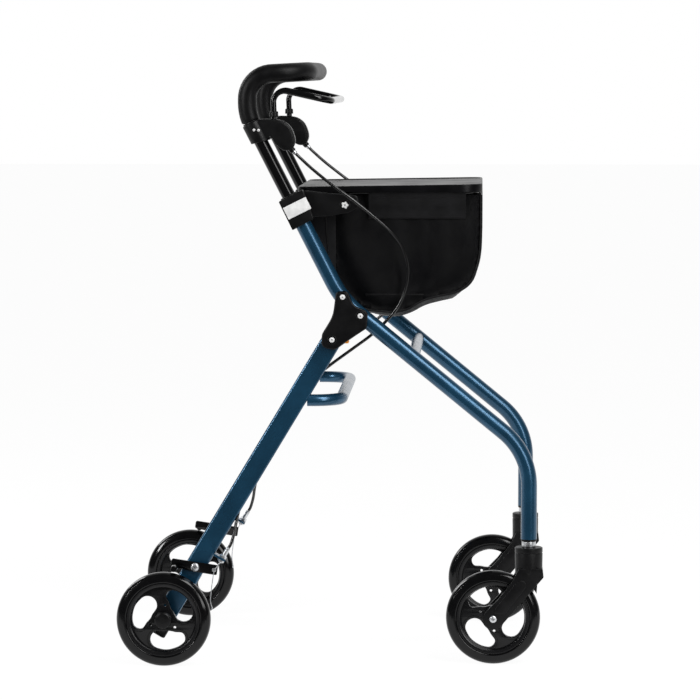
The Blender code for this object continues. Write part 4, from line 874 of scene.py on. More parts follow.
# %% Collars and bare plates
ARM_SCREW = mast(0.1313, 0.0728)
LUG_OUT = 0.1915
BLOCK_LOW, BLOCK_HIGH, BLOCK_HALF_W = 0.1335, 0.1835, 0.0175
block = [(BLOCK_LOW, -0.0186, 0.0016), (BLOCK_HIGH, -0.0176, 0.0016)]
block += [(BLOCK_HIGH, 0.0252, 0.003), (0.1345, 0.0200, 0.003)]
BLOCK = rounded([(mast(up, front), radius) for up, front, radius in block])
arm_corners = [(mast(0.1790, 0.0060), 0), (mast(0.1800, 0.0275), 0.006)]
arm_corners += [(ARM_SCREW + spot(-0.0120, 0.0172), 0.060), (ARM_SCREW + spot(0.0205, 0.0152), 0.008)]
arm_corners += [(ARM_SCREW + spot(0.0228, -0.0020), 0.010), (ARM_SCREW + spot(0.0065, -0.0122), 0.020)]
arm_corners += [(spot(-0.0016, 0.7128), 0.040), (mast(0.1365, 0.0218), 0.010), (mast(0.1345, 0.0060), 0)]
ARM = rounded(arm_corners)
bare_corners = ((0.1512, -0.016), (0.1716, -0.016), (0.1712, 0.024), (0.1508, 0.024))
BARE_EDGE = rounded([(mast(up, front), 0.001) for up, front in bare_corners])
bore = POST_R + 0.0004
boss = rod(0.008, LUG_OUT + 0.0003, HALF_FRAME, 0.0006)
seat = [(0.0056, 0.2150), (0.0085, 0.2150), (0.0085, 0.2166), (0.0070, 0.2170), (0.0056, 0.2170)]
seat = soft(seat, 0.0004, True)
lip = [(bore, 0), (0.0142, 0), (0.0142, 0.0024), (0.0126, 0.0032), (bore, 0.0032)]
lip = soft(lip, 0.0005, True)
for side, sign in SIDES.items():
    y = sign * HALF_FRAME
    parts = [plate([BLOCK], y - BLOCK_HALF_W, y + BLOCK_HALF_W, 0.0018, 3)]
    parts.append(plate([ARM], y - sign * 0.0040, y + sign * 0.0060, 0.0020, 3))
    parts.append(turned(ARM_SCREW, Y * sign, boss, 32))
    parts.append(turned(ARM_SCREW, Y * sign, seat, 40, True))
    parts.append(turned(across(mast(0.1825), y), MAST_UP, lip, 48, True))
    piece("collar_fine_" + side, join(*parts), MOULDED, "frame", ["collar_" + side])
    bare = plate([BARE_EDGE], y + sign * 0.0173, y + sign * 0.0179, 0.0002)
    # The bare plate's near-white is partly its own tone and partly painted reflection.
    piece("bare_plate_" + side, bare, BARE_METAL_AND_PAINTED_REFLECTION, "frame")
print("collar block:", round(BLOCK_HIGH - BLOCK_LOW, 3), "m high")

# %% [markdown]
# ## Knee brackets
#
# Two plates bolt the leg to the side tube, one on each side of it. The leg folds about the lowest bolt,
# and an orange button in front of that bolt releases it. Each bolt head sits in a low round rim. A plate's
# edge is a list of corners, each with its radius, as on a drawing, which is easier to change than points
# along the finished curve.

# %% Knee plates and buttons
UPPER_BOLT = mast(0.0040, 0.0040)
MIDDLE_BOLT = KNEE + DOWN_SLOPE * 0.0385
KNEE_IN, KNEE_OUT, BUTTON_HALF = 0.0130, 0.0190, 0.0125
knee_corners = [
    (UPPER_BOLT, -10.5, 9.0, 8), (UPPER_BOLT, 8.0, 10.0, 8), (MIDDLE_BOLT, -11.0, 16.5, 20),
    (MIDDLE_BOLT, 12.0, 7.0, 9), (MIDDLE_BOLT, 10.5, -19.5, 8), (LEG_PIVOT, 19.0, -5.5, 10),
    (LEG_PIVOT, 5.0, -16.5, 12), (LEG_PIVOT, -17.0, -12.0, 10), (LEG_PIVOT, -16.0, 9.0, 12),
    (LEG_PIVOT, 1.5, 38.0, 50),
]
KNEE_EDGE = rounded([(bolt + spot(x, z) / 1000, radius / 1000) for bolt, x, z, radius in knee_corners])
rim = [(0, 0.0170), (0.0076, 0.0170), (0.0076, 0.0196), (0.0064, 0.0200), (0.0060, 0.0190), (0, 0.0190)]
rim = soft(rim, 0.0004)
spacer = rod(0.009, 0.0103, 0.0160)
button_at = LEG_PIVOT + spot(0.0201, -0.0060)
button_corners = ((0, 0), (0.006, 0), (0.006, 0.0135), (0, 0.0135))
BUTTON = rounded([(button_at + spot(x, z), 0.001) for x, z in button_corners])
for side, sign in SIDES.items():
    y = sign * HALF_FRAME
    for place, out in (("outer", sign), ("inner", -sign)):
        parts = [plate([KNEE_EDGE], y + out * KNEE_IN, y + out * KNEE_OUT, 0.0026, 4)]
        parts += [turned(across(bolt, y), Y * out, rim, 40) for bolt in (UPPER_BOLT, MIDDLE_BOLT, LEG_PIVOT)]
        parts.append(turned(across(LEG_PIVOT, y), Y * out, spacer, 32))
        name = f"knee_plate_{place}_{side}"
        piece(name + "_fine", join(*parts), MOULDED, "frame", [name])
    shape = plate([BUTTON], y - BUTTON_HALF, y + BUTTON_HALF, 0.0008)
    piece("release_fine_" + side, shape, ORANGE, "fold_release_" + side, ["fold_release_button_" + side])
print("knee bracket:", len(KNEE_EDGE), "points round each plate")

# %% [markdown]
# ## Tray
#
# The tray is a shallow moulded dish. Its corners are wide in front and tight behind, its rim is rounded,
# and its floor lies a little below the rim. The shape is one loop in plan, repeated inwards at each
# level. A Bevel modifier needs a weight on each edge to round them differently, and these loops simply
# give the rim and each corner a radius of its own.


# %% Tray
def plan_loop(back, front, half_w, radii, z, step=math.radians(7.5)):
    """A rectangle in plan with round corners. The radii are for the back and the front."""
    places = ((back, -half_w), (front, -half_w), (front, half_w), (back, half_w))
    corners = [Vector((x, y, z)) for x, y in places]
    points = []
    for i, corner in enumerate(corners):
        points += corner_arc(corners[i - 1], corner, corners[(i + 1) % 4], radii[i in (1, 2)], step)
    return points


TRAY_TOP, TRAY_FRONT, TRAY_BACK, TRAY_HALF_W = 0.7586, 0.2405, -0.0528, 0.1935
drops = [(0.0030, 0.0090), (0.0006, 0.0090), (0, 0.0084), (0, 0.0018), (0.0005, 0.0006)]
drops += [(0.0016, 0), (0.0028, 0.0005), (0.0045, 0.0017), (0.0075, 0.0020)]
levels = [(inset, TRAY_TOP - drop) for inset, drop in drops]
loops = []
for inset, z in levels + [(0.0030, TRAY_TOP - 0.0050)]:
    radii = (0.022 - inset, 0.035 - inset)
    loop = plan_loop(TRAY_BACK + inset, TRAY_FRONT - inset, TRAY_HALF_W - inset, radii, z)
    lift = 0.0045 if z > TRAY_TOP - 0.006 else 0
    share = [max(0, p.x) / TRAY_FRONT for p in loop]
    loops.append([p + Z * lift * part**1.5 for p, part in zip(loop, share)])
count = len(loops[0])
points = [point for loop in loops for point in loop]
rows = [list(range(i * count, (i + 1) * count)) for i in range(len(loops))]
faces = [rows[-2], rows[-1]]
for one, two in [*zip(rows[:-2], rows[1:-1]), (rows[-1], rows[0])]:
    faces += [[one[k - 1], one[k], two[k], two[k - 1]] for k in range(count)]
piece("tray_fine", (points, faces), TRAY_PLASTIC, "tray", ["tray"], 30)
print("tray:", round(TRAY_FRONT - TRAY_BACK, 4), "by", 2 * TRAY_HALF_W, "m")

# %% [markdown]
# ## Bag frame
#
# A loop of black wire under the tray carries the bag. Two lugs welded to it bolt to the arms. The wire is
# a small circle carried round a closed line, with the tray's kind of corners.

# %% Bag frame
WIRE_R = 0.0035
WIRE_Z = TRAY_TOP - 0.0053 - WIRE_R
WIRE_HALF_W, WIRE_FRONT, WIRE_BACK = TRAY_HALF_W - 0.0088, TRAY_FRONT - 0.0088, TRAY_BACK + 0.026
wire_loop = plan_loop(WIRE_BACK, WIRE_FRONT, WIRE_HALF_W, (0.020, 0.027), WIRE_Z)
parts = [sweep(wire_loop, circle(WIRE_R, 16), side=Z, closed=True)]
lug_top = WIRE_Z - 0.0015
lug = [(spot(ARM_SCREW.x + x, lug_top), 0) for x in (-0.009, 0.009)]
lug += [(ARM_SCREW + spot(x, -0.009), 0.008) for x in (0.009, -0.009)]
strip_corners = ((-0.0085, 0.003), (0.0085, 0.003), (0.0085, 0.0005), (-0.0085, 0.0005))
strip = [spot(ARM_SCREW.x + x, lug_top - drop) for x, drop in strip_corners]
for sign in SIDES.values():
    parts.append(plate([rounded(lug)], sign * (LUG_OUT - 0.003), sign * LUG_OUT, 0.0005))
    parts.append(plate([strip], sign * WIRE_HALF_W, sign * (LUG_OUT - 0.001), 0.0004))
piece("bag_frame_fine", join(*parts), GLOSS, "frame", ["bag_frame"])
print("wire loop:", round(WIRE_FRONT - WIRE_BACK, 3), "by", round(2 * WIRE_HALF_W, 3), "m")

# %% [markdown]
# ## Bag
#
# The bag is sewn from one strip, which makes its back, bottom and front, and a panel on each side. The
# strip is a grid. A side panel is filled with triangles that share the strip's edge points, so the seam
# is truly closed. A box could be pulled into shape by hand, but cloth in even cells of one size bends
# the same everywhere.

# %% The strip
BAG_HALF_W, CELL = 0.175, 0.0075
bag_top = WIRE_Z - WIRE_R - 0.0008
profile = [(0.0027, 0.655), (0.0035, 0.612), (0.0130, 0.5860), (0.0367, 0.5719), (0.0560, 0.5628)]
profile += [(0.0800, 0.5595), (0.1046, 0.5588), (0.1260, 0.5650), (0.1475, 0.5775), (0.1750, 0.5850)]
profile += [(0.2010, 0.5912), (0.2223, 0.6070), (0.2330, 0.6331), (0.2375, 0.6581), (0.2388, 0.6938)]
bottom_line = smooth_line([spot(x, z) for x, z in profile], 0.003)
line = even_steps([spot(0.0027, bag_top), *bottom_line, spot(0.2388, bag_top)], CELL)
per_row, rows = round(2 * BAG_HALF_W / CELL) + 1, len(line)
points, uvs, faces = [], [], []
for j, p in enumerate(line):
    for i in range(per_row):
        y = BAG_HALF_W * (2 * i / (per_row - 1) - 1)
        points.append(across(p, y))
        uvs.append((y, j * CELL))
for j in range(rows - 1):
    for a in range(j * per_row, (j + 1) * per_row - 1):
        faces.append([a, a + 1, a + per_row + 1, a + per_row])
pinned = list(range(per_row)) + list(range((rows - 1) * per_row, len(points)))
edge_of = {
    "right": list(range(0, len(points), per_row)),
    "left": list(range(per_row - 1, len(points), per_row)),
}
print("strip:", round(rows * CELL, 2), "m long and", 2 * BAG_HALF_W, "m wide")

# %% The side panels
from mathutils.geometry import delaunay_2d_cdt, intersect_point_line


def inside(point, border, margin):
    """Whether a flat point lies within a border, and no nearer to it than the margin."""
    odd = False
    for p, q in zip(border, border[1:] + border[:1]):
        if (p.y > point.y) != (q.y > point.y) and point.x < (q.x - p.x) * (point.y - p.y) / (q.y - p.y) + p.x:
            odd = not odd
        foot, along = intersect_point_line(point, p, q)
        if 0 <= along <= 1 and (point - foot.to_2d()).length < margin:
            return False
    return odd


for side, sign in SIDES.items():
    border = [Vector((points[i].x, points[i].z)) for i in edge_of[side]]
    top_line = even_steps([line[-1], line[0]], CELL)[1:-1]
    border += [Vector((p.x, p.z)) for p in top_line]
    grid = [Vector((CELL * (i + j % 2 / 2), 0.55 + CELL * j)) for i in range(34) for j in range(28)]
    inner = [point for point in grid if inside(point, border, CELL * 0.5)]
    loop = [(i, (i + 1) % len(border)) for i in range(len(border))]
    corners, _, triangles, origin, _, _ = delaunay_2d_cdt(border + inner, loop, [], 1, 1e-6)
    index = []
    for corner, sources in zip(corners, origin):
        source = sources[0] if sources else -1
        if 0 <= source < rows:
            index.append(edge_of[side][source])
            continue
        if rows <= source < len(border):
            pinned.append(len(points))
        index.append(len(points))
        points.append(spot(corner.x, corner.y, sign * BAG_HALF_W))
        uvs.append((corner.x, corner.y))
    faces += [[index[i] for i in triangle] for triangle in triangles]
print("cloth:", len(points), "points")

# %% [markdown]
# The cloth hangs from its top edge in a short simulation. Its seams are held almost still, since piping
# stiffens them, and a light pressure from within stands for what the bag holds, so the panels fill and
# crease.

# %% The cloth hangs
bag = new_object("bag_cloth", points, faces)
bag_mesh = bag.data
uv_layer = bag_mesh.uv_layers.new(name="metres")
for loop in bag_mesh.loops:
    uv_layer.data[loop.index].uv = uvs[loop.vertex_index]
bag_mesh.materials.append(NYLON)
bag_mesh.shade_smooth()
face_outwards(bag_mesh, None)
LAST_FRAME, MOST_MOVE = 24, 0.010
hold = bag.vertex_groups.new(name="hold")
hold.add(pinned, 1.0, "REPLACE")
hold.add(sorted(set(edge_of["right"] + edge_of["left"]) - set(pinned)), 0.92, "REPLACE")
cloth = bag.modifiers.new("Cloth", "CLOTH")
hang = {"tension_stiffness": 25, "compression_stiffness": 12, "shear_stiffness": 8, "mass": 0.25}
hang |= {"bending_stiffness": 0.6, "shrink_min": -0.012, "quality": 6, "vertex_group_mass": "hold"}
hang |= {"use_pressure": True, "uniform_pressure_force": 0.25}
for name, value in hang.items():
    setattr(cloth.settings, name, value)
cloth.point_cache.frame_end = LAST_FRAME
for number in range(1, LAST_FRAME + 1):
    bpy.context.scene.frame_set(number)
hung = bpy.data.meshes.new_from_object(bag.evaluated_get(bpy.context.evaluated_depsgraph_get()))
moves = [b.co - a.co for a, b in zip(bag_mesh.vertices, hung.vertices)]
for vertex, move in zip(bag_mesh.vertices, moves):
    vertex.co += move * min(1.0, MOST_MOVE / max(move.length, 1e-9))
bag.modifiers.remove(cloth)
bpy.context.scene.frame_set(1)
print("cloth moved", round(max(move.length for move in moves) * 1000, 1), "mm at most")
assign(bag, "frame", ["bag"])

# %% [markdown]
# Piping covers both seams. Sleeves of the same binding fold over the wire, and a flap on each side closes
# the corner between the bag, the mast and the arm. A seam crosses each side panel low down. All this is
# made after the cloth has hung: the piping takes the cloth's edge, and a ray finds its face for the seam.

# %% Piping, sleeves and flaps
from mathutils.bvhtree import BVHTree

cloth_faces = [list(p.vertices) for p in bag_mesh.polygons]
cloth_tree = BVHTree.FromPolygons([v.co for v in bag_mesh.vertices], cloth_faces)


def on_cloth(x, z, sign, above=0.0006):
    """The spot just outside the side panel."""
    hit = cloth_tree.ray_cast(spot(x, z, sign), Y * -sign)[0]
    return spot(x, z, (hit.y if hit else sign * BAG_HALF_W) + sign * above)


piping, seams, sleeves, flaps, cords = [], [], [], [], []
side_hem = [(0, 5), (5, 0), (3, -8), (-3, -24), (-5.6, -40), (-7.4, -42), (-8.8, -39), (-7.6, -20), (-5, 0)]
front_hem = [(-5, 0), (0, 5), (4.6, 1), (7.6, -10), (8.8, -40), (7, -42), (5.2, -38), (-1, -7)]
HEM, FRONT_HEM = [
    smooth_line([wire + spot(x, z) / 1000 for x, z in hem], 0.0015, closed=True)
    for wire, hem in ((spot(0, 0), side_hem), (spot(WIRE_FRONT, WIRE_Z), front_hem))
]
flap = [mast(0.026, 0.0050), mast(0.128, 0.0050), spot(-0.0290, bag_top)]
flap += [spot(0.0075, bag_top), spot(0.0075, 0.6250)]
SEAM_X, SEAM_Z, SEAM_LENGTH = 0.0546, 0.5862, 0.0929
FLAP_IN, FLAP_OUT, CORD_Y, FRONT_SLEEVE_HALF = 0.1795, 0.1807, 0.1815, 0.150
for side, sign in SIDES.items():
    seam = [bag_mesh.vertices[i].co + Vector((0, sign * 0.0008, 0)) for i in edge_of[side]]
    piping.append(sweep(even_steps(seam, 0.004), circle(0.0019, 10)))
    low = [on_cloth(SEAM_X + SEAM_LENGTH * i / 24, SEAM_Z, sign, 0.0002) for i in range(25)]
    seams.append(sweep(low, circle(0.0011, 8)))
    wire_y = sign * WIRE_HALF_W
    section = [(-p.x * sign, p.z) for p in HEM]
    sleeves.append(sweep([spot(x, WIRE_Z, wire_y) for x in (0.0600, 0.1200, 0.2142)], section, side=-Y))
    flaps.append(plate([flap], sign * FLAP_IN, sign * FLAP_OUT, 0.0004))
    edge = [spot(x, z, sign * CORD_Y) for x, z in ((-0.0078, 0.7200), (-0.0068, 0.6890), (-0.0030, 0.6500))]
    cords.append(sweep(smooth_line(edge, 0.004), circle(0.0012, 10)))
sleeves.append(plate([FRONT_HEM], -FRONT_SLEEVE_HALF, FRONT_SLEEVE_HALF, 0.0008))
trims = [
    piece("bag_piping", join(*piping), BINDING, "frame"),
    piece("bag_seams", join(*seams), BINDING, "frame"),
    piece("bag_sleeves", join(*sleeves), BINDING, "frame"),
    piece("bag_flaps", join(*flaps), BINDING, "frame"),
    piece("bag_edge_cords", join(*cords), CABLE, "frame"),
]
print("trims on the bag:", len(trims))

# %% [markdown]
# ## Brake cables
#
# Each cable leaves its ferrule, arches past the arm and the bag to the inside of the side tube, and goes
# on into the leg through a grommet. It comes out above the wheel and ends in the adjuster. Its line could
# come from a simulation, but a cable is led by hand, so a few chosen points say better where it goes.
# The two parts that cross a joint ride on no body.

# %% Cables
arch = [
    (-0.0447, 0.2052, 0.2150), (-0.0097, 0.1777, 0.2225), (0.0153, 0.1602, 0.2250), (0.0454, 0.1365, 0.2235),
    (0.0729, 0.1127, 0.2160), (0.0928, 0.0876, 0.2060), (0.1029, 0.0577, 0.1965), (0.1033, 0.0327, 0.1905),
    (0.0954, 0.0026, 0.1875), (0.0828, -0.0199, 0.1870), (0.0655, -0.0395, 0.1870),
]
CABLE_R, WIRE_CORE_R = 0.0025, 0.0007
CABLE_SPLIT = KNEE + spot(0.0655, -0.0395)
LEG_FACE, ADJUSTER_FRONT = LEG_DEPTH / 2 + 0.0005, LEG_DEPTH / 2 + 0.014
grommet = soft([(0.0026, 0), (0.0058, 0), (0.0056, 0.0016), (0.0044, 0.0022), (0.0026, 0.0022)], 0.0005, True)


def cable(name, route, spacing, body, stands_for=()):
    made = sweep(smooth_line(route, spacing), circle(CABLE_R, 16))
    return piece(name, made, CABLE, body, stands_for)


for side, sign in SIDES.items():
    y, adjuster_y = sign * HALF_FRAME, sign * (HALF_FRAME + ARM_Y)
    route = [across(CABLE_START, y), across(CABLE_START + CABLE_WAY * 0.010, y)]
    route += [across(KNEE + spot(x, z), sign * out) for x, z, out in arch]
    upper = cable("cable_upper_fine_" + side, route, 0.006, None, ["brake_cable_upper_" + side])
    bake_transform(upper)
    route = [
        across(CABLE_SPLIT, sign * 0.1870),
        across(KNEE + spot(0.0449, -0.0582), sign * 0.1890),
        across(KNEE + spot(0.0160, -0.0790), sign * 0.1975),
        across(leg(0.4749, LEG_FACE), sign * 0.2065),
        across(leg(0.440, 0.004), y),
        across(leg(0.400, 0.001), y),
    ]
    lower = cable("cable_middle_fine_" + side, route, 0.006, None, ["brake_cable_lower_" + side])
    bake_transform(lower)
    route = [
        across(leg(0.240, 0.003), y),
        across(leg(0.1957, LEG_FACE), sign * (HALF_FRAME + 0.004)),
        across(leg(0.172, 0.0255), sign * (HALF_FRAME + ARM_Y - 0.003)),
        across(leg(0.155, ADJUSTER_FRONT), adjuster_y),
        across(leg(0.1479, ADJUSTER_FRONT), adjuster_y),
    ]
    cable("cable_end_fine_" + side, route, 0.003, "rear_legs")
    rings = []
    for up, sway in ((0.4749, -0.0035), (0.1957, 0.004)):
        at = across(leg(up, LEG_DEPTH / 2 - 0.0006), y + sign * sway)
        rings.append(turned(at, LEG_FRONT, grommet, 24, True))
    piece("cable_grommets_" + side, join(*rings), MOULDED, "rear_legs")
print("one cable is", length_of(route), "m after the leg")

# %% [markdown]
# ## Brakes
#
# A barrel adjuster with two nuts holds the cable's end at the tab. The bare inner wire runs on to a clamp
# on the brake arm, with a spare tail below it. The arm turns on a bolt and presses its round shoe on the
# tyre. A nut is turned as well, only with six sides.

# %% Adjusters and brake arms
BRAKE_PIVOT, TILT, ADJUSTER_UP = leg(0.0935), math.radians(-8.5), 0.127
ALONG = spot(math.cos(TILT), math.sin(TILT))
ABOVE = spot(-ALONG.z, ALONG.x)
barrel = soft([(0, -0.0072), (0.0024, -0.0072), (0.0028, -0.0054), (0, -0.0054)], 0.0004)
tube_part = soft([(0, -0.0062), (0.0036, -0.0062), (0.0036, 0.0195), (0.0028, 0.0202), (0, 0.0202)], 0.0005)
nut_ends = ((-0.0055, -0.0018), (0.0018, 0.0062))
nuts = [rod(0.0055, low, high, 0.0004) for low, high in nut_ends]
arm_corners = [(-0.0385, -0.0048, 0.003), (0, -0.008, 0.01), (0.036, -0.008, 0.002)]
arm_corners += [(0.036, 0.008, 0.002), (0, 0.008, 0.01), (-0.0385, 0.008, 0.003)]
ARM_EDGE = rounded([(BRAKE_PIVOT + ALONG * x + ABOVE * z, radius) for x, z, radius in arm_corners])
shoe_x = BRAKE_PIVOT.x - 0.031
SHOE = spot(shoe_x, WHEEL_R + math.sqrt((WHEEL_R + 0.0084) ** 2 - (shoe_x - REAR_AXLE.x) ** 2))
ARM_IN = HALF_FRAME + ARM_Y - 0.002
shoe_profile = rod(0.005, ARM_IN + 0.002, 0.263, 0.0008)
shoulder = rod(0.006, leg_out, ARM_IN - 0.0003, 0.0004)
nut = rod(0.0055, 0.1957, 0.1998, 0.0004)
for side, sign in SIDES.items():
    at = across(leg(ADJUSTER_UP, ADJUSTER_FRONT), sign * (HALF_FRAME + ARM_Y))
    shapes = [turned(at, LEG_UP, barrel, 24), turned(at, LEG_UP, tube_part, 32)]
    shapes += [turned(at, LEG_UP, profile, 6) for profile in nuts]
    piece("adjuster_fine_" + side, join(*shapes), STEEL, "rear_legs", ["cable_adjuster_" + side])
    bar = plate([ARM_EDGE], sign * ARM_IN, sign * (ARM_IN + 0.004), 0.0006)
    shoe = turned(SHOE, Y * sign, shoe_profile, 32)
    piece("brake_arm_fine_" + side, join(bar, shoe), GLOSS, "brake_arm_" + side, ["brake_arm_" + side])
    shapes = [turned(BRAKE_PIVOT, Y * sign, shoulder, 24), turned(BRAKE_PIVOT, Y * sign, nut, 6)]
    piece("brake_bolt_fine_" + side, join(*shapes), STEEL, "rear_legs", ["brake_pivot_bolt_" + side])
print("shoe stands", round((SHOE - REAR_AXLE).length - WHEEL_R - 0.005, 4), "m off the tyre")

# %% Brake wires
clamp_profile = rod(0.0034, -0.0014, 0.0022, 0.0004)
tail_cap = rod(0.0012, -0.004, 0.001, 0.0003)
tail_way = ((0, 0, 0), (-0.003, 0, -0.020), (-0.006, 0.002, -0.046), (-0.004, 0, -0.060))
for side, sign in SIDES.items():
    out = sign * (HALF_FRAME + ARM_Y)
    start = across(leg(ADJUSTER_UP - 0.0070, ADJUSTER_FRONT), out)
    hook = across(BRAKE_PIVOT + ALONG * 0.031, out + sign * 0.0032)
    wire_line = smooth_line([start, start.lerp(hook, 0.5) + spot(0, -0.001), hook], 0.003)
    wire = piece("brake_wire_" + side, sweep(wire_line, circle(WIRE_CORE_R, 10)), STEEL, None)
    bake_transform(wire)
    tail = smooth_line([hook + Vector((x, sign * sway, z)) for x, sway, z in tail_way], 0.003)
    shape = join(sweep(tail, circle(WIRE_CORE_R, 10)), turned(tail[-1], Z, tail_cap, 12))
    piece("brake_wire_tail_" + side, shape, STEEL, "brake_arm_" + side)
    piece("wire_clamp_" + side, turned(hook, Y * sign, clamp_profile, 6), STEEL, "brake_arm_" + side)
print("bare wire:", round((hook - start).length, 4), "m from the adjuster to the clamp")

# %% [markdown]
# ## Screws and stitches
#
# Heads and stitches repeat, so one node group sets out copies of an object on points. Each point carries
# the turn of its copy. The same group takes a star-socket head or a single stitch. A loop could add each
# copy as an object, but this way all copies on one body come out as one mesh.


# %% A node group that sets out copies
def make_setter():
    tree = bpy.data.node_groups.new("set_out", "GeometryNodeTree")
    inputs = {"Geometry": "Geometry", "Copy": "Object", "Size": "Float", "Finish": "Material"}
    for name, kind in inputs.items():
        tree.interface.new_socket(name=name, in_out="INPUT", socket_type="NodeSocket" + kind)
    tree.interface.new_socket(name="Geometry", in_out="OUTPUT", socket_type="NodeSocketGeometry")
    given = tree.nodes.new("NodeGroupInput").outputs
    leave = tree.nodes.new("NodeGroupOutput")
    points = node(tree, "GeometryNodeMeshToPoints", {"Mesh": given["Geometry"]})
    info = node(tree, "GeometryNodeObjectInfo", {"Object": given["Copy"]})
    turn = node(tree, "GeometryNodeInputNamedAttribute", {"Name": "turn"}, data_type="FLOAT_VECTOR")
    values = {"Points": points.outputs["Points"], "Instance": info.outputs["Geometry"]}
    values |= {"Rotation": turn.outputs["Attribute"], "Scale": given["Size"]}
    copies = node(tree, "GeometryNodeInstanceOnPoints", values)
    real = node(tree, "GeometryNodeRealizeInstances", {"Geometry": copies.outputs["Instances"]})
    values = {"Geometry": real.outputs["Geometry"], "Material": given["Finish"]}
    coat = node(tree, "GeometryNodeSetMaterial", values)
    tree.links.new(coat.outputs["Geometry"], leave.inputs["Geometry"])
    return tree


SETTER = make_setter()
print("nodes in the group:", len(SETTER.nodes))


# %% Setting out
def set_out(name, places, copy, size, material, body, stands_for=()):
    """Copies of an object at (point, direction) places, as one piece."""
    maker = new_object(name, [point for point, _ in places], [])
    turns = maker.data.attributes.new("turn", "FLOAT_VECTOR", "POINT")
    for i, (_, way) in enumerate(places):
        turns.data[i].vector = way.to_track_quat("Z", "Y").to_euler()
    modifier = maker.modifiers.new("Set out", "NODES")
    modifier.node_group = SETTER
    values = {"Copy": copy, "Size": size, "Finish": material}
    for socket in SETTER.interface.items_tree:
        if socket.in_out == "INPUT" and socket.name in values:
            modifier[socket.identifier] = values[socket.name]
    maker.update_tag()
    bpy.context.view_layer.update()
    made = bpy.data.meshes.new_from_object(maker.evaluated_get(bpy.context.evaluated_depsgraph_get()))
    maker.modifiers.remove(modifier)
    maker.data = made
    made.shade_smooth()
    made.set_sharp_from_angle(angle=math.radians(35))
    assign(maker, body, stands_for)
    return len(places)


def head_shape(star, lobes=0.0, count=48):
    """A domed head with a star socket, of radius 1 and facing +Z."""
    turns = [math.tau * i / count for i in range(count)]
    outline = [1 + lobes * math.cos(star * t) for t in turns]
    dome = ((1.0, 0.0), (1.0, 0.22), (0.93, 0.40), (0.75, 0.55), (0.42, 0.64))
    rings = [[(r * wave, h) for wave in outline] for r, h in dome]
    rings += [[(0.30 + 0.06 * math.cos(star * t), depth) for t in turns] for depth in (0.64, 0.05)]
    points = []
    for ring in rings:
        points += [Vector((math.cos(t) * r, math.sin(t) * r, h)) for t, (r, h) in zip(turns, ring)]
    faces = [list(range(count)), list(range(len(points) - count, len(points)))]
    for j in range(0, len(points) - count, count):
        for i in range(count):
            k = (i + 1) % count
            faces.append([j + i, j + k, j + count + k, j + count + i])
    return points, faces


HEAD = new_object("head", *head_shape(6), shown=False)
KNOB = new_object("knob", *head_shape(5, 0.16), shown=False)
print("one head has", len(HEAD.data.polygons), "faces")

# %% Screw heads
knee_heads, arm_heads, clamp_heads, pins, total = [], [], [], [], 0
for side, sign in SIDES.items():
    y = sign * HALF_FRAME
    for bolt in (UPPER_BOLT, MIDDLE_BOLT, LEG_PIVOT):
        knee_heads += [(across(bolt, y + out * 0.0191), Y * out) for out in (1, -1)]
    arm_heads.append((across(ARM_SCREW, y + sign * 0.0062), Y * sign))
    arm_heads.append((across(ARM_SCREW, sign * (LUG_OUT - 0.0033)), -Y * sign))
    pins += [(across(PIVOT, y + sign * out * 0.0092), Y * sign * out) for out in (1, -1)]
    for up, front in ((0.0160, -0.0005), (0.0124, 0.0057)):
        clamp_heads.append((across(mast(CLAMP_AT + up, front), y + sign * 0.0148), Y * sign))
    fork_heads = [(across(FRONT_AXLE, y + out * 0.0221), Y * out) for out in (1, -1)]
    total += set_out("fork_heads_" + side, fork_heads, HEAD, 0.0061, STEEL, "caster_" + side)
    brake_head = [(across(BRAKE_PIVOT, sign * (HALF_FRAME + ARM_Y + 0.0023)), Y * sign)]
    total += set_out("brake_bolt_head_" + side, brake_head, HEAD, 0.0068, STEEL, "rear_legs")
knee_nodes = [f"knee_bolt_{at}_{side}" for at in ("upper", "middle", "pivot") for side in SIDES]
# Knee, arm and clamp heads take the near-white finish, which is partly painted reflection on bright metal.
total += set_out("knee_heads", knee_heads, HEAD, 0.0043, BARE_METAL_AND_PAINTED_REFLECTION, "frame", knee_nodes)
total += set_out("arm_heads", arm_heads, KNOB, 0.0052, BARE_METAL_AND_PAINTED_REFLECTION, "frame", ["arm_screw_" + side for side in SIDES])
total += set_out("clamp_heads", clamp_heads, HEAD, 0.0022, BARE_METAL_AND_PAINTED_REFLECTION, "handle")
pin_nodes = ["lever_pin_" + side for side in SIDES]
total += set_out("lever_pin_heads", pins, HEAD, 0.0040, MOULDED, "handle", pin_nodes)
print("screw heads:", total)

# %% Stitches
thread = soft([(0, -0.0015), (0.0003, -0.0012), (0.0003, 0.0012), (0, 0.0015)], 0.0002)
STITCH = new_object("stitch", *turned(spot(0, 0), Vector((1, 0, 0)), thread, 6), shown=False)
stitches, PITCH = [], 0.004
for sign in SIDES.values():
    for up, inward in ((-0.0385, 0.0053), (-0.0085, -0.0030)):
        row = [spot(0.064 + i * PITCH, WIRE_Z + up, sign * (WIRE_HALF_W - inward)) for i in range(37)]
        stitches += [(point, Z) for point in row]
    for drop in (0.0022, -0.0022):
        row = [on_cloth(SEAM_X + 0.002 + i * PITCH, SEAM_Z + drop, sign, 0.0003) for i in range(23)]
        stitches += [(point, Z) for point in row]
print("stitches:", set_out("bag_stitches", stitches, STITCH, 1.0, BINDING, "frame"))

# %% [markdown]
# ## Floor and light
#
# The floor and the sky are white where the camera, a mirror-like reflection or a clear material looks at
# them, through Light Path, and far dimmer as a source of light. So the background is white while the
# walker is lit at a plain level, and the floor still keeps a faint shadow. Shiny parts see the white
# backdrop behind the walker and a darker room behind the camera, as in a studio.


# %% Floor
def highest(tree, *sockets):
    """The largest of several values."""
    result = sockets[0]
    for socket in sockets[1:]:
        pick = node(tree, "ShaderNodeMath", {0: result, 1: socket}, operation="MAXIMUM")
        result = pick.outputs["Value"]
    return result


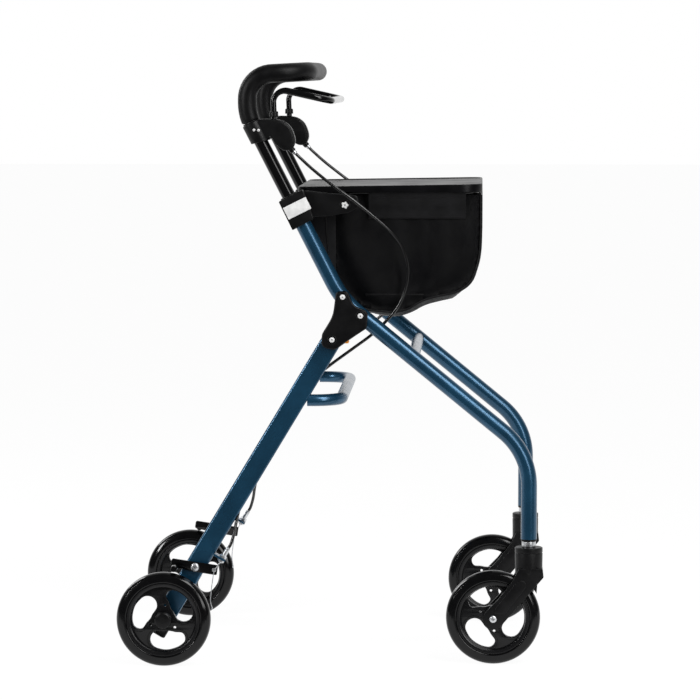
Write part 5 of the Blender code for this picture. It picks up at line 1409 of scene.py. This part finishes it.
FLOOR_FRONT, FLOOR_FAR = -0.62, 30
edges = ((-FLOOR_FAR, FLOOR_FRONT), (FLOOR_FAR, FLOOR_FRONT), (FLOOR_FAR, FLOOR_FAR), (-FLOOR_FAR, FLOOR_FAR))
floor = new_object("floor", [(x, y, 0) for x, y in edges], [(0, 1, 2, 3)])
floor_material = bpy.data.materials.new("white_floor")
floor_material.use_nodes = True
tree = floor_material.node_tree
shader = tree.nodes["Principled BSDF"]
patches(tree, shader, 0.3, ("#f0f0f0", "#f6f6f6"), (0.55, 0.65))
glow = node(tree, "ShaderNodeEmission", {"Color": (1, 1, 1, 1), "Strength": 1.04})
light_path = node(tree, "ShaderNodeLightPath")
seen = highest(tree, *[light_path.outputs[f"Is {kind} Ray"] for kind in ("Camera", "Glossy", "Transmission")])
share = node(tree, "ShaderNodeMath", {0: seen, 1: 0.9}, operation="MULTIPLY")
values = {"Fac": share.outputs["Value"], 1: shader.outputs["BSDF"], 2: glow.outputs["Emission"]}
blend = node(tree, "ShaderNodeMixShader", values)
tree.links.new(blend.outputs["Shader"], tree.nodes["Material Output"].inputs["Surface"])
floor.data.materials.append(floor_material)
print("floor:", round(share.inputs[1].default_value, 2), "of it glows to the camera")

# %% Sky
world = bpy.data.worlds.new("sky")
bpy.context.scene.world = world
world.use_nodes = True
tree = world.node_tree
light_path = node(tree, "ShaderNodeLightPath")
place = node(tree, "ShaderNodeTexCoord")
way = node(tree, "ShaderNodeSeparateXYZ", {"Vector": place.outputs["Generated"]})
values = {"Value": way.outputs["Y"], "From Min": 0.1, "From Max": 0.95, "To Min": 0.12, "To Max": 1.0}
backdrop = node(tree, "ShaderNodeMapRange", values)
values = {"Factor": light_path.outputs["Is Glossy Ray"], "A": 0.36, "B": backdrop.outputs["Result"]}
mirrored = node(tree, "ShaderNodeMix", values)
direct = highest(tree, light_path.outputs["Is Camera Ray"], light_path.outputs["Is Transmission Ray"])
values = {"Factor": direct, "A": mirrored.outputs["Result"], "B": 1.0}
strength = node(tree, "ShaderNodeMix", values)
background = tree.nodes["Background"]
background.inputs["Color"].default_value = (1, 1, 1, 1)
tree.links.new(strength.outputs["Result"], background.inputs["Strength"])
print("sky nodes:", len(tree.nodes))

# %% [markdown]
# Four soft boxes do the modelling: a wide one above, a narrow one on the left and in front, a tall one on
# the right, which draws the long highlights down the posts and the tubes, and a weak one from behind for
# the rims.


# %% Lamps
def lamp(name, place, size, watts):
    data = bpy.data.lights.new(name, "AREA")
    data.shape = "RECTANGLE"
    data.size, data.size_y = size
    data.energy = watts
    made = bpy.data.objects.new(name, data)
    bpy.context.scene.collection.objects.link(made)
    made.location = place
    made.rotation_euler = (Vector((0, 0, 0.45)) - Vector(place)).to_track_quat("-Z", "Y").to_euler()
    return watts


watts = [
    lamp("above", (1.6, -2.0, 2.8), (1.5, 1.5), 62),
    lamp("left", (-2.2, -1.8, 1.5), (0.2, 1.3), 34),
    lamp("right", (2.0, -2.7, 1.2), (0.8, 1.8), 28),
    lamp("rim", (-2.2, 1.6, 2.0), (0.4, 1.4), 16),
]
bpy.context.scene.view_settings.view_transform = "Standard"
print("lamps:", sum(watts), "W in all")
